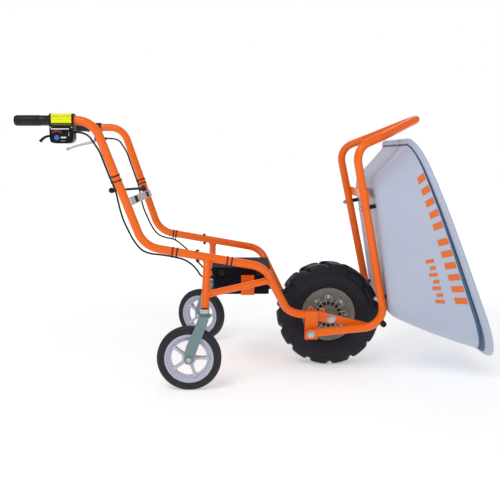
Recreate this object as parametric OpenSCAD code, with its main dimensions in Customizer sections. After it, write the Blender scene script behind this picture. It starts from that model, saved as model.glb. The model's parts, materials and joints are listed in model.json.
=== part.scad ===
// Power wheelbarrow: an electric barrow with one hub-motor drive wheel, two swivel casters,
// a bent-tube chassis and a tub that tips forward on its own hinged frame.
// Millimetres. +X is forwards, +Y is the machine's left, +Z is up.
// The origin is on the ground, straight under the drive axle. The tub is drawn tipped.

/* [Main tubes] */
// Outside diameter of the frame tube
tube_d = 27; // [22:0.5:32]
// Wall of the frame tube
tube_wall = 2; // [1.5:0.5:3]
// Half distance between the two handles
handle_w = 300; // [260:5:340]
// Height of the handle tubes' centres
handle_z = 838; // [760:2:920]
// How far behind the axle the handle tubes end
handle_end = 990; // [900:5:1100]
// Half distance between the two level middle tubes
middle_w = 245; // [225:5:270]
// Half distance between the tubes where they meet the axle brackets
bracket_w = 120; // [116:1:126]

/* [Drive wheel] */
// Radius of the drive tyre
tyre_r = 180; // [160:1:182]
// Width of the drive tyre
tyre_width = 100; // [80:1:110]
// Radius of the hub motor's shell
hub_r = 80; // [76:1:84]
// Diameter of the fixed axle
axle_d = 16; // [12:0.5:20]

/* [Casters] */
// Radius of a caster tyre
caster_r = 101.5; // [85:0.5:108]
// Width of a caster tyre
caster_width = 32; // [24:1:38]
// How far behind the drive axle the caster stems stand
caster_back = 420; // [400:1:440]
// Half distance between the caster stems
caster_w = 316; // [290:1:335]
// Trail from stem to caster axle
caster_trail = 50; // [35:1:60]
// How far the left caster is turned from straight, in degrees
caster_turn = -28; // [-40:1:40]

/* [Tub] */
// Half width of the tub's rim
tub_rim_w = 300; // [260:5:330]
// Half width of the tub's floor
tub_floor_w = 208; // [204:2:230]
// Length of the tub's rim, from back to nose
tub_len = 752; // [700:2:780]
// Depth of the tub at its back end
tub_depth_back = 156; // [130:1:158]
// Depth of the tub at the front end of its floor
tub_depth_front = 262; // [230:1:264]
// Wall of the tub
tub_wall = 4; // [3:0.5:6]

/* [Battery] */
// Length of the battery case
case_len = 188; // [160:1:190]
// Width of the battery case
case_width = 240; // [200:2:260]
// Height of the battery case without its lid
case_height = 74; // [68:1:84]
// Wall of the battery case
case_wall = 3; // [2:0.5:5]

/* [Controls] */
// Outside diameter of the grips
grip_d = 33; // [30:0.5:36]
// Length of the grips
grip_len = 106; // [80:1:107]
// Length of the control pod
pod_len = 72; // [68:1:80]
// Diameter of the push button
button_d = 16; // [10:0.5:17]
// Travel of the push button
button_travel = 2; // [1:0.5:3]

/* [Hidden] */
$fn = 48;

orange = [0.96, 0.42, 0.05];
black = [0.06, 0.06, 0.07];
zinc = [0.70, 0.72, 0.70];
steel = [0.62, 0.63, 0.65];
tub_blue = [0.76, 0.81, 0.88];

// Clearances, each used wherever that kind of fit occurs
running = 0.05;
gap = 0.5;
tube_r = tube_d / 2;
axle_z = tyre_r;

// ---- Corner points of the right side tube, written with positive half widths ----
slope = -0.175;
shoulder = [-756, handle_w, handle_z];
knee = [-616, middle_w, 446];
hip = [-233, middle_w, 379];
foot = [-147, bracket_w, 206];
bracket_back = -90;
tube_end = [bracket_back, bracket_w, foot[2] + (bracket_back - foot[0]) * slope];
end_spare = 6;
handle_tip = [-handle_end, handle_w, handle_z];
shoulder_r = 70;
knee_r = 85;
hip_r = 70;
foot_r = 60;

// ---- Vector helpers ----
function unit(v) = v / norm(v);
function mix(a, b, t) = a + (b - a) * t;
function side(p, s) = [p[0], p[1] * s, p[2]];
function at_x(a, b, x) = mix(a, b, (x - a[0]) / (b[0] - a[0]));
function at_z(a, b, z) = mix(a, b, (z - a[2]) / (b[2] - a[2]));
function turn_angle(a, p, b) = acos(unit(p - a) * unit(b - p));
function tangent(a, p, b, r) = r * tan(turn_angle(a, p, b) / 2);

// A straight reaches this far into a bend, and a bend is this much thicker, so that they fuse cleanly
bend_lap = 2;
bend_swell = 0.2;

// Puts the children in a frame with the given origin and axes
module in_frame(o, x, y, z) {
    multmatrix([[x[0], y[0], z[0], o[0]], [x[1], y[1], z[1], o[1]], [x[2], y[2], z[2], o[2]], [0, 0, 0, 1]])
        children();
}

// Points the children's Z axis from a towards b
module aimed(a, b) {
    z = unit(b - a);
    side_axis = abs(z[1]) > 0.9 ? [1, 0, 0] : [0, 1, 0];
    x = unit(cross(side_axis, z));
    in_frame(a, x, cross(z, x), z) children();
}

module rod(a, b, d) {
    aimed(a, b) cylinder(h = norm(b - a), d = d);
}

// Round bar or tube along a line of corner points, bent at each inner corner
module bent_bar(points, radii, d) {
    last = len(points) - 1;
    cuts = [for (i = [0:last]) i == 0 || i == last ? 0
        : tangent(points[i - 1], points[i], points[i + 1], radii[i - 1])];
    for (i = [0:last - 1]) {
        u = unit(points[i + 1] - points[i]);
        rod(points[i] + u * (cuts[i] - (i == 0 ? 0 : bend_lap)),
            points[i + 1] - u * (cuts[i + 1] - (i == last - 1 ? 0 : bend_lap)), d);
    }
    for (i = [1:1:last - 1]) {
        u = unit(points[i] - points[i - 1]);
        v = unit(points[i + 1] - points[i]);
        angle = turn_angle(points[i - 1], points[i], points[i + 1]);
        centre = points[i] + unit(v - u) * radii[i - 1] / cos(angle / 2);
        start = points[i] - u * cuts[i];
        x = unit(start - centre);
        in_frame(centre, x, u, cross(x, u))
            rotate_extrude(angle = angle) translate([radii[i - 1], 0]) circle(d = d + bend_swell);
    }
}

module bent_tube(points, radii, d, wall) {
    difference() {
        bent_bar(points, radii, d);
        bent_bar(lengthened(points), radii, d - 2 * wall);
    }
}

// The same corner points with both ends pushed out a little
function lengthened(p) = let (n = len(p) - 1, extra = 1)
    [for (i = [0:n]) i == 0 ? p[0] - unit(p[1] - p[0]) * extra
        : i == n ? p[n] + unit(p[n] - p[n - 1]) * extra : p[i]];

module mirrored(s) {
    if (s > 0) children(); else mirror([0, 1, 0]) children();
}

// ---- Chassis tubes ----
side_points = [handle_tip, shoulder, knee, hip, foot, tube_end + unit(tube_end - foot) * end_spare];
side_radii = [shoulder_r, knee_r, hip_r, foot_r];

module side_tube_outside() {
    bent_bar(side_points, side_radii, tube_d);
}

frame_bolt_x = -445;
frame_bolt_d = 6;

module side_tube(s) {
    at = at_x(knee, hip, frame_bolt_x);
    color(orange) mirrored(s) difference() {
        bent_tube(side_points, side_radii, tube_d, tube_wall);
        translate([at[0], at[1], at[2] - 40]) cylinder(h = 80, d = frame_bolt_d + 2 * gap);
        // Cut square where the tube butts against the axle bracket
        translate([bracket_back, 0, 100]) cube([100, 2 * bracket_w, 200]);
    }
}

leg_foot_z = 258;
leg_top = at_x(knee, hip, -413);
leg_foot = [-caster_back, caster_w, leg_foot_z];
leg_d = 25;

module caster_leg(s) {
    color(orange) mirrored(s) difference() {
        rod(leg_top, mix(leg_top, leg_foot, 1.2), leg_d);
        rod(leg_top, mix(leg_top, leg_foot, 1.3), leg_d - 2 * tube_wall);
        side_tube_outside();
        translate([-500, 0, leg_foot_z - 100]) cube([200, 500, 100]);
    }
}

brace_back = at_z(leg_top, leg_foot, 299);
brace_front = at_z(hip, foot, 331);
brace_d = 22;

module side_brace(s) {
    color(orange) mirrored(s) difference() {
        rod(brace_back, brace_front, brace_d);
        rod(mix(brace_back, brace_front, -0.1), mix(brace_back, brace_front, 1.1), brace_d - 2 * tube_wall);
        rod(leg_top, mix(leg_top, leg_foot, 1.2), leg_d);
        side_tube_outside();
    }
}

// ---- Axle brackets ----
bracket_front = -47;
bracket_low = 113;
bracket_top = tube_end[2] + tube_r;
bracket_wall = 4;
bracket_in = bracket_w - tube_r - 0.5;
bracket_out = bracket_w + tube_r + 0.5;
arm_thick = 12;
arm_tip = [135, axle_z - 23];
pivot = [-73, 139];
pivot_d = 12;

module axle_arm_outline() {
    polygon([
        [bracket_front, axle_z + 27], [bracket_front, axle_z - 8],
        [arm_tip[0], arm_tip[1] - 7], [arm_tip[0] + 4, arm_tip[1]], [arm_tip[0], arm_tip[1] + 6],
        [24, axle_z + 11]
    ]);
}

// Lug on top of the arm that guides the motor lead
module lead_lug(x) {
    lug_r = 9;
    translate([x, 0, bracket_top - 4]) rotate([-90, 0, 0]) difference() {
        union() {
            translate([0, -lug_r, 0]) cylinder(h = 4, r = lug_r);
            translate([-lug_r, -lug_r, 0]) cube([2 * lug_r, 2 * lug_r, 4]);
        }
        translate([0, -lug_r, -1]) cylinder(h = 6, r = 4.5);
    }
}

module axle_bracket(s) {
    long = bracket_front - bracket_back;
    wide = bracket_out - bracket_in;
    tall = bracket_top - bracket_low;
    color(orange) mirrored(s) difference() {
        union() {
            difference() {
                translate([bracket_back, bracket_in, bracket_low]) cube([long, wide, tall]);
                translate([bracket_back + bracket_wall, bracket_in + bracket_wall, bracket_low - 1])
                    cube([long - 2 * bracket_wall, wide - 2 * bracket_wall, tall + 1 - bracket_wall]);
            }
            translate([0, bracket_in + arm_thick, 0]) rotate([90, 0, 0])
                linear_extrude(arm_thick) axle_arm_outline();
            for (x = [-70, -31])
                translate([0, bracket_in + 2, x < bracket_front ? 0 : -6]) lead_lug(x);
        }
        translate([0, bracket_in - 20, axle_z]) rotate([-90, 0, 0]) cylinder(h = 60, d = axle_d + 2 * running);
        translate([pivot[0], bracket_in - 20, pivot[1]]) rotate([-90, 0, 0])
            cylinder(h = 80, d = pivot_d + 2 * running);
    }
}

// ---- Crossbar behind the handles, which the tipping frame leans on ----
slant = unit([knee[0] - shoulder[0], 0, knee[2] - shoulder[2]]);
slant_front = [-slant[2], 0, slant[0]];
crossbar_z = 585;
crossbar_high = 26;
crossbar_thick = 4;
crossbar_mid = at_z(shoulder, knee, crossbar_z);
crossbar_half = crossbar_mid[1] + 6;
pad_thick = 3;

module handle_crossbar() {
    face = [crossbar_mid[0], 0, crossbar_z] + slant_front * (tube_r + 0.2);
    color([0.86, 0.80, 0.82]) in_frame(face, slant, [0, 1, 0], -slant_front)
        translate([-crossbar_high / 2, -crossbar_half, -crossbar_thick])
            cube([crossbar_high, 2 * crossbar_half, crossbar_thick]);
}

module rest_pads() {
    face = [crossbar_mid[0], 0, crossbar_z] + slant_front * (tube_r + 0.22 + crossbar_thick);
    color(black) for (s = [-1, 1]) in_frame(face, slant, [0, 1, 0], -slant_front)
        translate([-10, s * 148 - 22, -pad_thick]) cube([20, 44, pad_thick]);
}

// ---- Battery case, lid, cradle and what they hold ----
case_front = -212;
case_back = case_front - case_len;
case_low = 268;
case_top = case_low + case_height;
lid_high = 18;
lid_skirt = 4;
socket_r = 8;
socket_y = 60;
socket_z = case_low + 45;
gland_d = 14;
gland_hole = 6;
gland_len = 16;
control_gland = [case_back, -84, case_low + 52];
brake_gland = [case_back, 84, case_low + 52];
motor_gland = [case_front, -92, case_low + 18];

module case_block(x0, x1, half, z0, z1, r) {
    for (x = [x0 + r, x1 - r], y = [-half + r, half - r]) translate([x, y, z0]) cylinder(h = z1 - z0, r = r);
    translate([x0 + r, -half, z0]) cube([x1 - x0 - 2 * r, 2 * half, z1 - z0]);
    translate([x0, -half + r, z0]) cube([x1 - x0, 2 * half - 2 * r, z1 - z0]);
}

module battery_case() {
    half = case_width / 2;
    w = case_wall;
    color(black) difference() {
        case_block(case_back, case_front, half, case_low, case_top, 10);
        case_block(case_back + w, case_front - w, half - w, case_low + w, case_top + 1, 7);
        translate([case_back - 1, socket_y, socket_z]) rotate([0, 90, 0]) cylinder(h = w + 2, r = socket_r + 4);
        for (g = [control_gland, brake_gland])
            translate([g[0] - 1, g[1], g[2]]) rotate([0, 90, 0]) cylinder(h = w + 2, d = gland_d - 4);
        translate([motor_gland[0] + 1, motor_gland[1], motor_gland[2]]) rotate([0, -90, 0])
            cylinder(h = w + 2, d = gland_d - 4);
    }
}

module battery_lid() {
    half = case_width / 2 + lid_skirt;
    color(black) difference() {
        case_block(case_back - lid_skirt, case_front + lid_skirt, half, case_top - 8, case_top + lid_high, 12);
        case_block(case_back - 0.2, case_front + 0.2, half - lid_skirt + 0.2, case_top - 9, case_top, 10);
        case_block(case_back + 4, case_front - 4, half - 8, case_top - 1, case_top + lid_high - 3, 8);
    }
}

module battery_pack() {
    // Two blocks of cells side by side
    long = 118;
    wide = (case_width - 2 * case_wall - 12) / 2;
    color([0.16, 0.20, 0.45]) for (y = [-wide - 2, 2])
        translate([case_back + case_wall + 22, y, case_low + case_wall + 0.2])
            cube([long, wide, case_height - case_wall - 12]);
}

module motor_controller() {
    // Finned aluminium box, stood on end at the front of the case
    x0 = case_front - case_wall - 36;
    color(steel) difference() {
        translate([x0, -70, case_low + case_wall + 0.2]) cube([32, 150, case_height - case_wall - 14]);
        for (y = [-60:12:72])
            translate([x0 + 22, y, case_low]) cube([20, 6, case_height]);
    }
}

module charge_socket() {
    color(steel) translate([case_back + case_wall, socket_y, socket_z]) rotate([0, -90, 0]) difference() {
        union() {
            cylinder(h = case_wall, r = socket_r + 4 - running);
            translate([0, 0, case_wall]) cylinder(h = 4, r = socket_r + 7);
            translate([0, 0, -12]) cylinder(h = 12, r = socket_r + 3);
        }
        translate([0, 0, -9]) cylinder(h = 30, r = socket_r);
    }
}

module gland(p, way) {
    translate(p) rotate([0, way * 90, 0]) difference() {
        union() {
            translate([0, 0, -case_wall]) cylinder(h = case_wall, d = gland_d - 4 - 2 * running);
            cylinder(h = 5, d = gland_d, $fn = 6);
            translate([0, 0, 5]) cylinder(h = gland_len - 5, d1 = gland_d - 2, d2 = gland_hole + 3);
        }
        translate([0, 0, -case_wall - 1]) cylinder(h = gland_len + 10, d = gland_hole + 2 * running);
    }
}

module cable_glands() {
    color(black) {
        gland(control_gland, -1);
        gland(brake_gland, -1);
        gland(motor_gland, 1);
    }
}

cradle_x = -284;
cradle_long = 44;
cradle_thick = 3;
cradle_up = case_top - 6;

module battery_cradle() {
    half = case_width / 2 + 0.3;
    t = cradle_thick;
    x0 = cradle_x - cradle_long / 2;
    brace_at = at_x(brace_back, brace_front, cradle_x);
    flange_z = brace_at[2] - t / 2;
    color(orange) difference() {
        union() {
            translate([x0, -half - t, case_low - 0.2 - t]) cube([cradle_long, 2 * (half + t), t]);
            for (s = [-1, 1]) {
                translate([x0, s > 0 ? half : -half - t, case_low - 0.2 - t])
                    cube([cradle_long, t, cradle_up - case_low]);
                translate([x0, s > 0 ? half : -brace_at[1], flange_z])
                    cube([cradle_long, brace_at[1] - half, t]);
            }
            translate([case_back + 6, -half + 20, case_low - 0.2 - t]) cube([case_len - 12, 40, t]);
            translate([case_back + 6, half - 60, case_low - 0.2 - t]) cube([case_len - 12, 40, t]);
        }
        for (s = [-1, 1]) rod(side(brace_back, s), side(brace_front, s), brace_d);
    }
}

// ---- Grips, control pod, throttle, brake lever ----
module grip(s) {
    ribs = 9;
    color(black) mirrored(s) translate([-handle_end, handle_w, handle_z]) rotate([0, 90, 0]) difference() {
        union() {
            translate([0, 0, -3]) cylinder(h = grip_len + 3, d = grip_d - 2);
            translate([0, 0, -4]) cylinder(h = 6, d = grip_d);
            translate([0, 0, grip_len - 5]) cylinder(h = 5, d = grip_d + 2);
            for (i = [1:ribs]) translate([0, 0, i * (grip_len - 8) / (ribs + 1)]) cylinder(h = 4.5, d = grip_d);
        }
        cylinder(h = grip_len + 10, d = tube_d + 2 * running);
    }
}

pod_back = -884;
pod_front = pod_back + pod_len;
pod_half = 21;
pod_top = handle_z + 20;
pod_split = handle_z - 17;
pod_cable_z = handle_z - 35;
pod_low = handle_z - 69;
pod_round = 18;

module pod_outline(grow) {
    // Side outline of the lower half, with round lower corners
    x0 = pod_back - grow;
    x1 = pod_front + grow;
    r = pod_round + grow;
    translate([x0 + r, pod_low - grow + r]) circle(r = r);
    translate([x1 - r, pod_low - grow + r]) circle(r = r);
    translate([x0 + r, pod_low - grow]) square([x1 - x0 - 2 * r, pod_split - pod_low + grow]);
    translate([x0, pod_low - grow + r]) square([x1 - x0, pod_split - pod_low + grow - r]);
}

panel_thick = 2;
button_x = -862;
button_z = handle_z - 52;
throttle_axis = [-862, handle_z - 49];
throttle_y = -handle_w + 6;
throttle_pin_d = 5;

module control_pod() {
    color(black) difference() {
        translate([0, -handle_w + pod_half, 0]) rotate([90, 0, 0])
            linear_extrude(2 * pod_half - panel_thick) pod_outline(0);
        // Hollow for the circuit and the throttle's root
        translate([0, -handle_w + pod_half - 3, 0]) rotate([90, 0, 0])
            linear_extrude(2 * pod_half - 8) pod_outline(-3);
        translate([pod_back - 1, -handle_w, handle_z]) rotate([0, 90, 0])
            cylinder(h = pod_len + 2, d = tube_d + 2 * running);
        // Slot that the throttle lever sweeps
        translate([pod_back - 1, throttle_y - 6, pod_low + 2]) cube([30, 12, 34]);
        translate([button_x, -handle_w - pod_half - 1, button_z]) rotate([-90, 0, 0])
            cylinder(h = 12, d = button_d + 2 * running);
        // Opening for the cable
        translate([pod_front - 5, -handle_w, pod_cable_z]) rotate([0, 90, 0]) cylinder(h = 8, d = 8);
    }
    // Pin that the throttle lever turns on, fixed in the far wall and clear of the button
    color(black) translate([throttle_axis[0], -handle_w - pod_half + 6, throttle_axis[1]]) rotate([-90, 0, 0])
        cylinder(h = 2 * pod_half - 8, d = throttle_pin_d);
}

module pod_sleeve() {
    color([0.96, 0.95, 0.05]) difference() {
        translate([pod_back, -handle_w - pod_half, pod_split + 0.2])
            cube([pod_len, 2 * pod_half, pod_top - pod_split - 0.2]);
        translate([pod_back - 1, -handle_w, handle_z]) rotate([0, 90, 0])
            cylinder(h = pod_len + 2, d = tube_d + 2 * running);
        // Rounded upper edges
        for (s = [-1, 1]) translate([pod_back - 1, -handle_w + s * (pod_half - 8), pod_top - 8]) difference() {
            translate([0, s > 0 ? 0 : -9, 0]) cube([pod_len + 2, 9, 9]);
            translate([-1, 0, 0]) rotate([0, 90, 0]) cylinder(h = pod_len + 4, r = 8);
        }
    }
}

module control_panel() {
    color([0.10, 0.10, 0.12]) translate([0, -handle_w - pod_half + panel_thick, 0]) rotate([90, 0, 0]) difference() {
        linear_extrude(panel_thick) pod_outline(0);
        translate([button_x, button_z, -1]) cylinder(h = 4, d = button_d + 2 * running);
    }
}

module power_button() {
    stem = 5.5;
    color([0.20, 0.35, 0.80]) translate([button_x, -handle_w - pod_half - button_travel - 0.5, button_z])
        rotate([-90, 0, 0]) cylinder(h = stem, d = button_d);
}

module throttle_lever() {
    // Thumb lever: a hub on its pin and a blade that bends down at the tip
    color(black) translate([0, throttle_y + 4, 0]) rotate([90, 0, 0]) linear_extrude(8) difference() {
        union() {
            translate(throttle_axis) circle(r = 8);
            polygon([
                [throttle_axis[0], throttle_axis[1] + 7], [-884, handle_z - 42], [-896, handle_z - 43.5],
                [-906, handle_z - 46.5], [-914, handle_z - 52], [-924, handle_z - 61],
                [-916, handle_z - 67], [-909, handle_z - 58], [-902, handle_z - 53],
                [-894, handle_z - 50.5], [-884, handle_z - 49], [throttle_axis[0], throttle_axis[1] - 7]
            ]);
        }
        translate(throttle_axis) circle(d = throttle_pin_d + 2 * running);
    }
}

perch_x = -850;
lever_axis = [-852, handle_z - 42];
lever_pin_d = 6;

module brake_perch() {
    // Clamp on the left handle with two ears, and the lever's pin through them
    y = handle_w;
    color(black) {
        difference() {
            union() {
                translate([perch_x - 12, y, handle_z]) rotate([0, 90, 0]) cylinder(h = 24, d = tube_d + 8);
                for (s = [-1, 1])
                    translate([perch_x - 14, y + s * 8 - 2.5, lever_axis[1] - 7]) cube([28, 5, 40]);
                translate([perch_x + 8, y - 8, lever_axis[1] - 5]) cube([22, 16, 10]);
            }
            translate([perch_x - 20, y, handle_z]) rotate([0, 90, 0]) cylinder(h = 40, d = tube_d + 2 * running);
        }
        translate([lever_axis[0], y - 13, lever_axis[1]]) rotate([-90, 0, 0]) cylinder(h = 26, d = lever_pin_d);
    }
}

module brake_lever() {
    thick = 10;
    tip = [-968, handle_z - 82];
    color(steel) translate([0, handle_w + thick / 2, 0]) rotate([90, 0, 0]) difference() {
        union() {
            translate(lever_axis) cylinder(h = thick, r = 8);
            translate(tip) cylinder(h = thick, r = 6.5);
            linear_extrude(thick) polygon([
                [lever_axis[0] + 3, lever_axis[1] + 6], [-872, handle_z - 49], [-905, handle_z - 58],
                [-940, handle_z - 67], [-962, handle_z - 76], tip, [-960, handle_z - 84],
                [-940, handle_z - 76], [-905, handle_z - 67], [-872, handle_z - 60],
                [lever_axis[0] + 3, lever_axis[1] - 6]
            ]);
        }
        translate([lever_axis[0], lever_axis[1], -1]) cylinder(h = thick + 2, d = lever_pin_d + 2 * running);
    }
}

// ---- Latch that locks the tipping frame to the crossbar ----
latch_pin = [-674, 232];
latch_z = 606;
latch_thick = 8;
latch_pin_d = 8;
knob_at = [-761, 50];
knob_long = 26;
knob_d = 20;

module latch_bracket() {
    // Shelf on the inside of the left tube, and the pin that the lever turns on
    mid = at_z(shoulder, knee, latch_z - 4);
    color(black) {
        difference() {
            translate([mid[0] - 14, latch_pin[1] - 12, latch_z - 6]) cube([22, mid[1] - latch_pin[1] + 12, 5]);
            side_tube_outside();
            in_frame([crossbar_mid[0], 0, crossbar_z] + slant_front * (tube_r + 0.2), slant, [0, 1, 0], -slant_front)
                translate([-crossbar_high / 2 - 0.2, -300, -20]) cube([crossbar_high + 0.4, 600, 20]);
        }
        translate([latch_pin[0], latch_pin[1], latch_z - 1.01]) cylinder(h = latch_thick + 5, d = latch_pin_d);
        translate([latch_pin[0], latch_pin[1], latch_z + latch_thick + 1]) cylinder(h = 5, d = 14, $fn = 6);
    }
}

module latch_lever() {
    way = unit(knob_at - latch_pin);
    across = [-way[1], way[0]];
    reach = norm(knob_at - latch_pin);
    color(black) translate([0, 0, latch_z - 0.5]) difference() {
        union() {
            translate(latch_pin) cylinder(h = latch_thick, r = 11);
            linear_extrude(latch_thick) polygon([
                latch_pin - way * 5 + across * 9, latch_pin + way * reach * 0.5 + across * 6,
                latch_pin + way * (reach - 14) + across * 5, latch_pin + way * (reach - 14) - across * 5,
                latch_pin + way * reach * 0.5 - across * 6, latch_pin - way * 5 - across * 9
            ]);
        }
        translate([latch_pin[0], latch_pin[1], -1]) cylinder(h = latch_thick + 2, d = latch_pin_d + 2 * running);
    }
}

module latch_knob() {
    way = unit(knob_at - latch_pin);
    tip = latch_pin + way * (norm(knob_at - latch_pin) - 14);
    z = latch_z - 0.5 + latch_thick / 2;
    color(black) aimed([tip[0], tip[1], z], [knob_at[0], knob_at[1], z]) cylinder(h = knob_long, d = knob_d);
}

// ---- Cables that the frame holds all the way ----
cable_d = 6;
control_route = [
    [-816, -300, 803], [-798, -300, 802], [-782, -299, 798], [-769, -296, 789], [-759, -292, 774],
    [-749, -289, 758], [-740, -287, 742], [-729, -283, 711], [-718, -279, 680], [-707, -274, 650],
    [-697, -270, 622], [-691, -266, 592], [-685, -262, 562], [-676, -258, 530], [-662, -254, 497],
    [-645, -249, 463], [-622, -243, 434], [-594, -240, 422], [-562, -240, 418], [-530, -240, 413],
    [-505, -237, 407], [-484, -228, 398], [-464, -206, 380], [-450, -170, 356], [-442, -128, 334],
    [-432, -96, 322], [-422, -84, 320], [-410, -84, 320], [-400, -84, 320]
];
brake_route = [
    [-820, 300, 796], [-800, 300, 796], [-783, 299, 793], [-769, 296, 786], [-759, 292, 773],
    [-749, 289, 758], [-740, 287, 742], [-729, 283, 711], [-718, 279, 680], [-707, 274, 650],
    [-697, 270, 622], [-691, 266, 592], [-685, 262, 562], [-676, 258, 530], [-662, 254, 497],
    [-645, 249, 463], [-622, 243, 434], [-594, 240, 422], [-572, 238, 418], [-552, 230, 411],
    [-528, 210, 396], [-500, 180, 376], [-474, 146, 352], [-450, 112, 330], [-434, 90, 321],
    [-422, 84, 320], [-410, 84, 320], [-400, 84, 320]
];
motor_route = [
    [-212, -92, 286], [-202, -92, 286], [-192, -92, 285], [-178, -92, 273], [-168, -91, 254], [-152, -90, 234],
    [-132, -90, 217], [-108, -90, 206], [-80, -90, 198], [-52, -90, 192], [-30, -90, 187], [-axle_d / 2, -90, 181]
];

// Ring of points round a route point, held upright so that the rings don't twist
function ring(route, i, r, sides) = let (
    last = len(route) - 1,
    way = unit(route[min(i + 1, last)] - route[max(i - 1, 0)]),
    x = unit(cross([0.3, 1, 0], way)),
    y = cross(way, x)
) [for (k = [0:sides - 1]) route[i] + x * r * cos(k * 360 / sides) + y * r * sin(k * 360 / sides)];

// Skin over a list of rings, closed by a fan at each end
module skin(rings) {
    n = len(rings[0]);
    rows = len(rings);
    middle = function (loop) [for (k = [0:2]) [for (p = loop) p[k]] * [for (p = loop) 1 / n]];
    points = [for (loop = rings) for (p = loop) p, middle(rings[0]), middle(rings[rows - 1])];
    polyhedron(points, [
        for (i = [0:rows - 2]) for (k = [0:n - 1]) let (a = i * n + k, b = i * n + (k + 1) % n)
            each [[a, b, b + n], [a, b + n, a + n]],
        for (k = [0:n - 1]) [rows * n, (k + 1) % n, k],
        for (k = [0:n - 1]) [rows * n + 1, (rows - 1) * n + k, (rows - 1) * n + (k + 1) % n]
    ], convexity = 10);
}

// Points between the chosen ones, on a smooth curve through them
function smooth(p) = let (last = len(p) - 1) [for (i = [0:last - 1]) let (
    before = p[max(i - 1, 0)], after = p[min(i + 2, last)], a = p[i], b = p[i + 1]
) each [a, (a + b) * 0.5625 - (before + after) * 0.0625], p[last]];

module cable(route) {
    sides = 8;
    color(black) skin([for (i = [0:len(route) - 1]) ring(route, i, cable_d / 2, sides)]);
}

module tie(a, b, x) {
    // Band round tube and cable at station x of the straight from a to b
    p = at_x(a, b, x);
    z = unit(b - a);
    down = unit([z[2], 0, -z[0]]) * (z[2] * 0 - z[0] < 0 ? 1 : -1);
    in_frame(p, down, cross(z, down), z) translate([0, 0, -2]) difference() {
        linear_extrude(4) hull() {
            circle(r = tube_r + 1.7);
            translate([tube_r + cable_d / 2, 0]) circle(r = cable_d / 2 + 1.7);
        }
        translate([0, 0, -1]) linear_extrude(6) hull() {
            circle(r = tube_r + 0.2);
            translate([tube_r + cable_d / 2, 0]) circle(r = cable_d / 2 + 0.3);
        }
    }
}

module cable_ties() {
    color(black) {
        for (behind = [24.9, 30.4]) tie(side(shoulder, -1), side(knee, -1), crossbar_mid[0] - behind);
        for (behind = [15, 19.5]) tie(shoulder, knee, crossbar_mid[0] - behind);
        for (x = [-510, -524, -350, -336]) tie(side(knee, -1), side(hip, -1), x);
        for (x = [-562, -552]) tie(knee, hip, x);
    }
}

// ---- Fixed axle and the motor's stator ----
axle_half = bracket_in + arm_thick + 16;
hub_half = 44;

module axle_shaft() {
    color(steel) translate([0, -axle_half, axle_z]) rotate([-90, 0, 0]) cylinder(h = 2 * axle_half, d = axle_d);
}

module motor_stator() {
    slots = 18;
    color([0.72, 0.45, 0.20]) translate([0, 0, axle_z]) rotate([-90, 0, 0]) difference() {
        union() {
            translate([0, 0, -16]) cylinder(h = 32, r = hub_r - 10);
            translate([0, 0, -24]) cylinder(h = 48, r = 24);
        }
        for (i = [0:slots - 1]) rotate([0, 0, i * 360 / slots])
            translate([hub_r - 34, -3, -20]) cube([30, 6, 40]);
        translate([0, 0, -30]) cylinder(h = 60, d = axle_d + 2 * running);
    }
}

module axle_nuts() {
    seat = bracket_in + arm_thick + 0.02;
    color(steel) for (s = [-1, 1]) mirrored(s) translate([0, seat, axle_z]) rotate([-90, 0, 0]) difference() {
        union() {
            cylinder(h = 2, r = 15);
            translate([0, 0, 2]) cylinder(h = 10, r = 13, $fn = 6);
        }
        translate([0, 0, -1]) cylinder(h = 20, d = axle_d + 2 * running);
    }
}

module frame_bolts() {
    // A bolt with its nut through each middle tube
    at = at_x(knee, hip, frame_bolt_x);
    seat = tube_r + 1.4;
    color(black) for (s = [-1, 1]) translate([at[0], s * at[1], at[2]]) {
        translate([0, 0, -seat - 8]) cylinder(h = 2 * seat + 10, d = frame_bolt_d);
        translate([0, 0, seat]) cylinder(h = 4, r = 6, $fn = 6);
        translate([0, 0, -seat - 5]) cylinder(h = 5, r = 6, $fn = 6);
    }
}

// ---- Tipping frame: corner points with positive half widths ----
pivot_w = 150;
frame_pivot = [pivot[0], pivot_w, pivot[1]];
frame_corner = [180, 151, 165];
frame_top = [61, 200, 756];
bow_shoulder = [150, 166, 792];
bow_front = [292, 36, 854];
leg_split = at_z(frame_corner, frame_top, 640);
corner_r = 65;
top_r = 58;
boss_d = 30;
boss_len = 27;

module pivot_bolts() {
    // Bolt head inside the bracket wall, washer and nut outside the boss
    head = 8;
    out = pivot_w + boss_len / 2 + gap;
    color(steel) for (s = [-1, 1]) mirrored(s) translate([pivot[0], 0, pivot[1]]) rotate([-90, 0, 0]) {
        translate([0, 0, bracket_in - head]) cylinder(h = head - 0.02, r = 11, $fn = 6);
        translate([0, 0, bracket_in - 1]) cylinder(h = out + 12 - bracket_in, d = pivot_d);
        translate([0, 0, out]) cylinder(h = 2, r = 13);
        translate([0, 0, out + 2]) cylinder(h = 8, r = 10, $fn = 6);
    }
}

tub_bolt_d = 8;
tub_bolt_z = [262, 563];
leg_way = unit(frame_top - frame_corner);
leg_tilt = unit([leg_way[0], 0, leg_way[2]]);
bolt_way = [leg_tilt[2], 0, -leg_tilt[0]];

module tub_frame_half(s) {
    color(orange) mirrored(s) difference() {
        union() {
            bent_tube([frame_pivot, frame_corner, leg_split], [corner_r], tube_d, tube_wall);
            translate([pivot[0], pivot_w - boss_len / 2, pivot[1]]) rotate([-90, 0, 0])
                cylinder(h = boss_len, d = boss_d);
        }
        translate([pivot[0], pivot_w - boss_len, pivot[1]]) rotate([-90, 0, 0])
            cylinder(h = 2 * boss_len, d = pivot_d + 2 * running);
        for (z = tub_bolt_z) {
            p = at_z(frame_corner, frame_top, z);
            rod(p - bolt_way * 40, p + bolt_way * 40, tub_bolt_d + 2 * gap);
        }
    }
}

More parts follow.
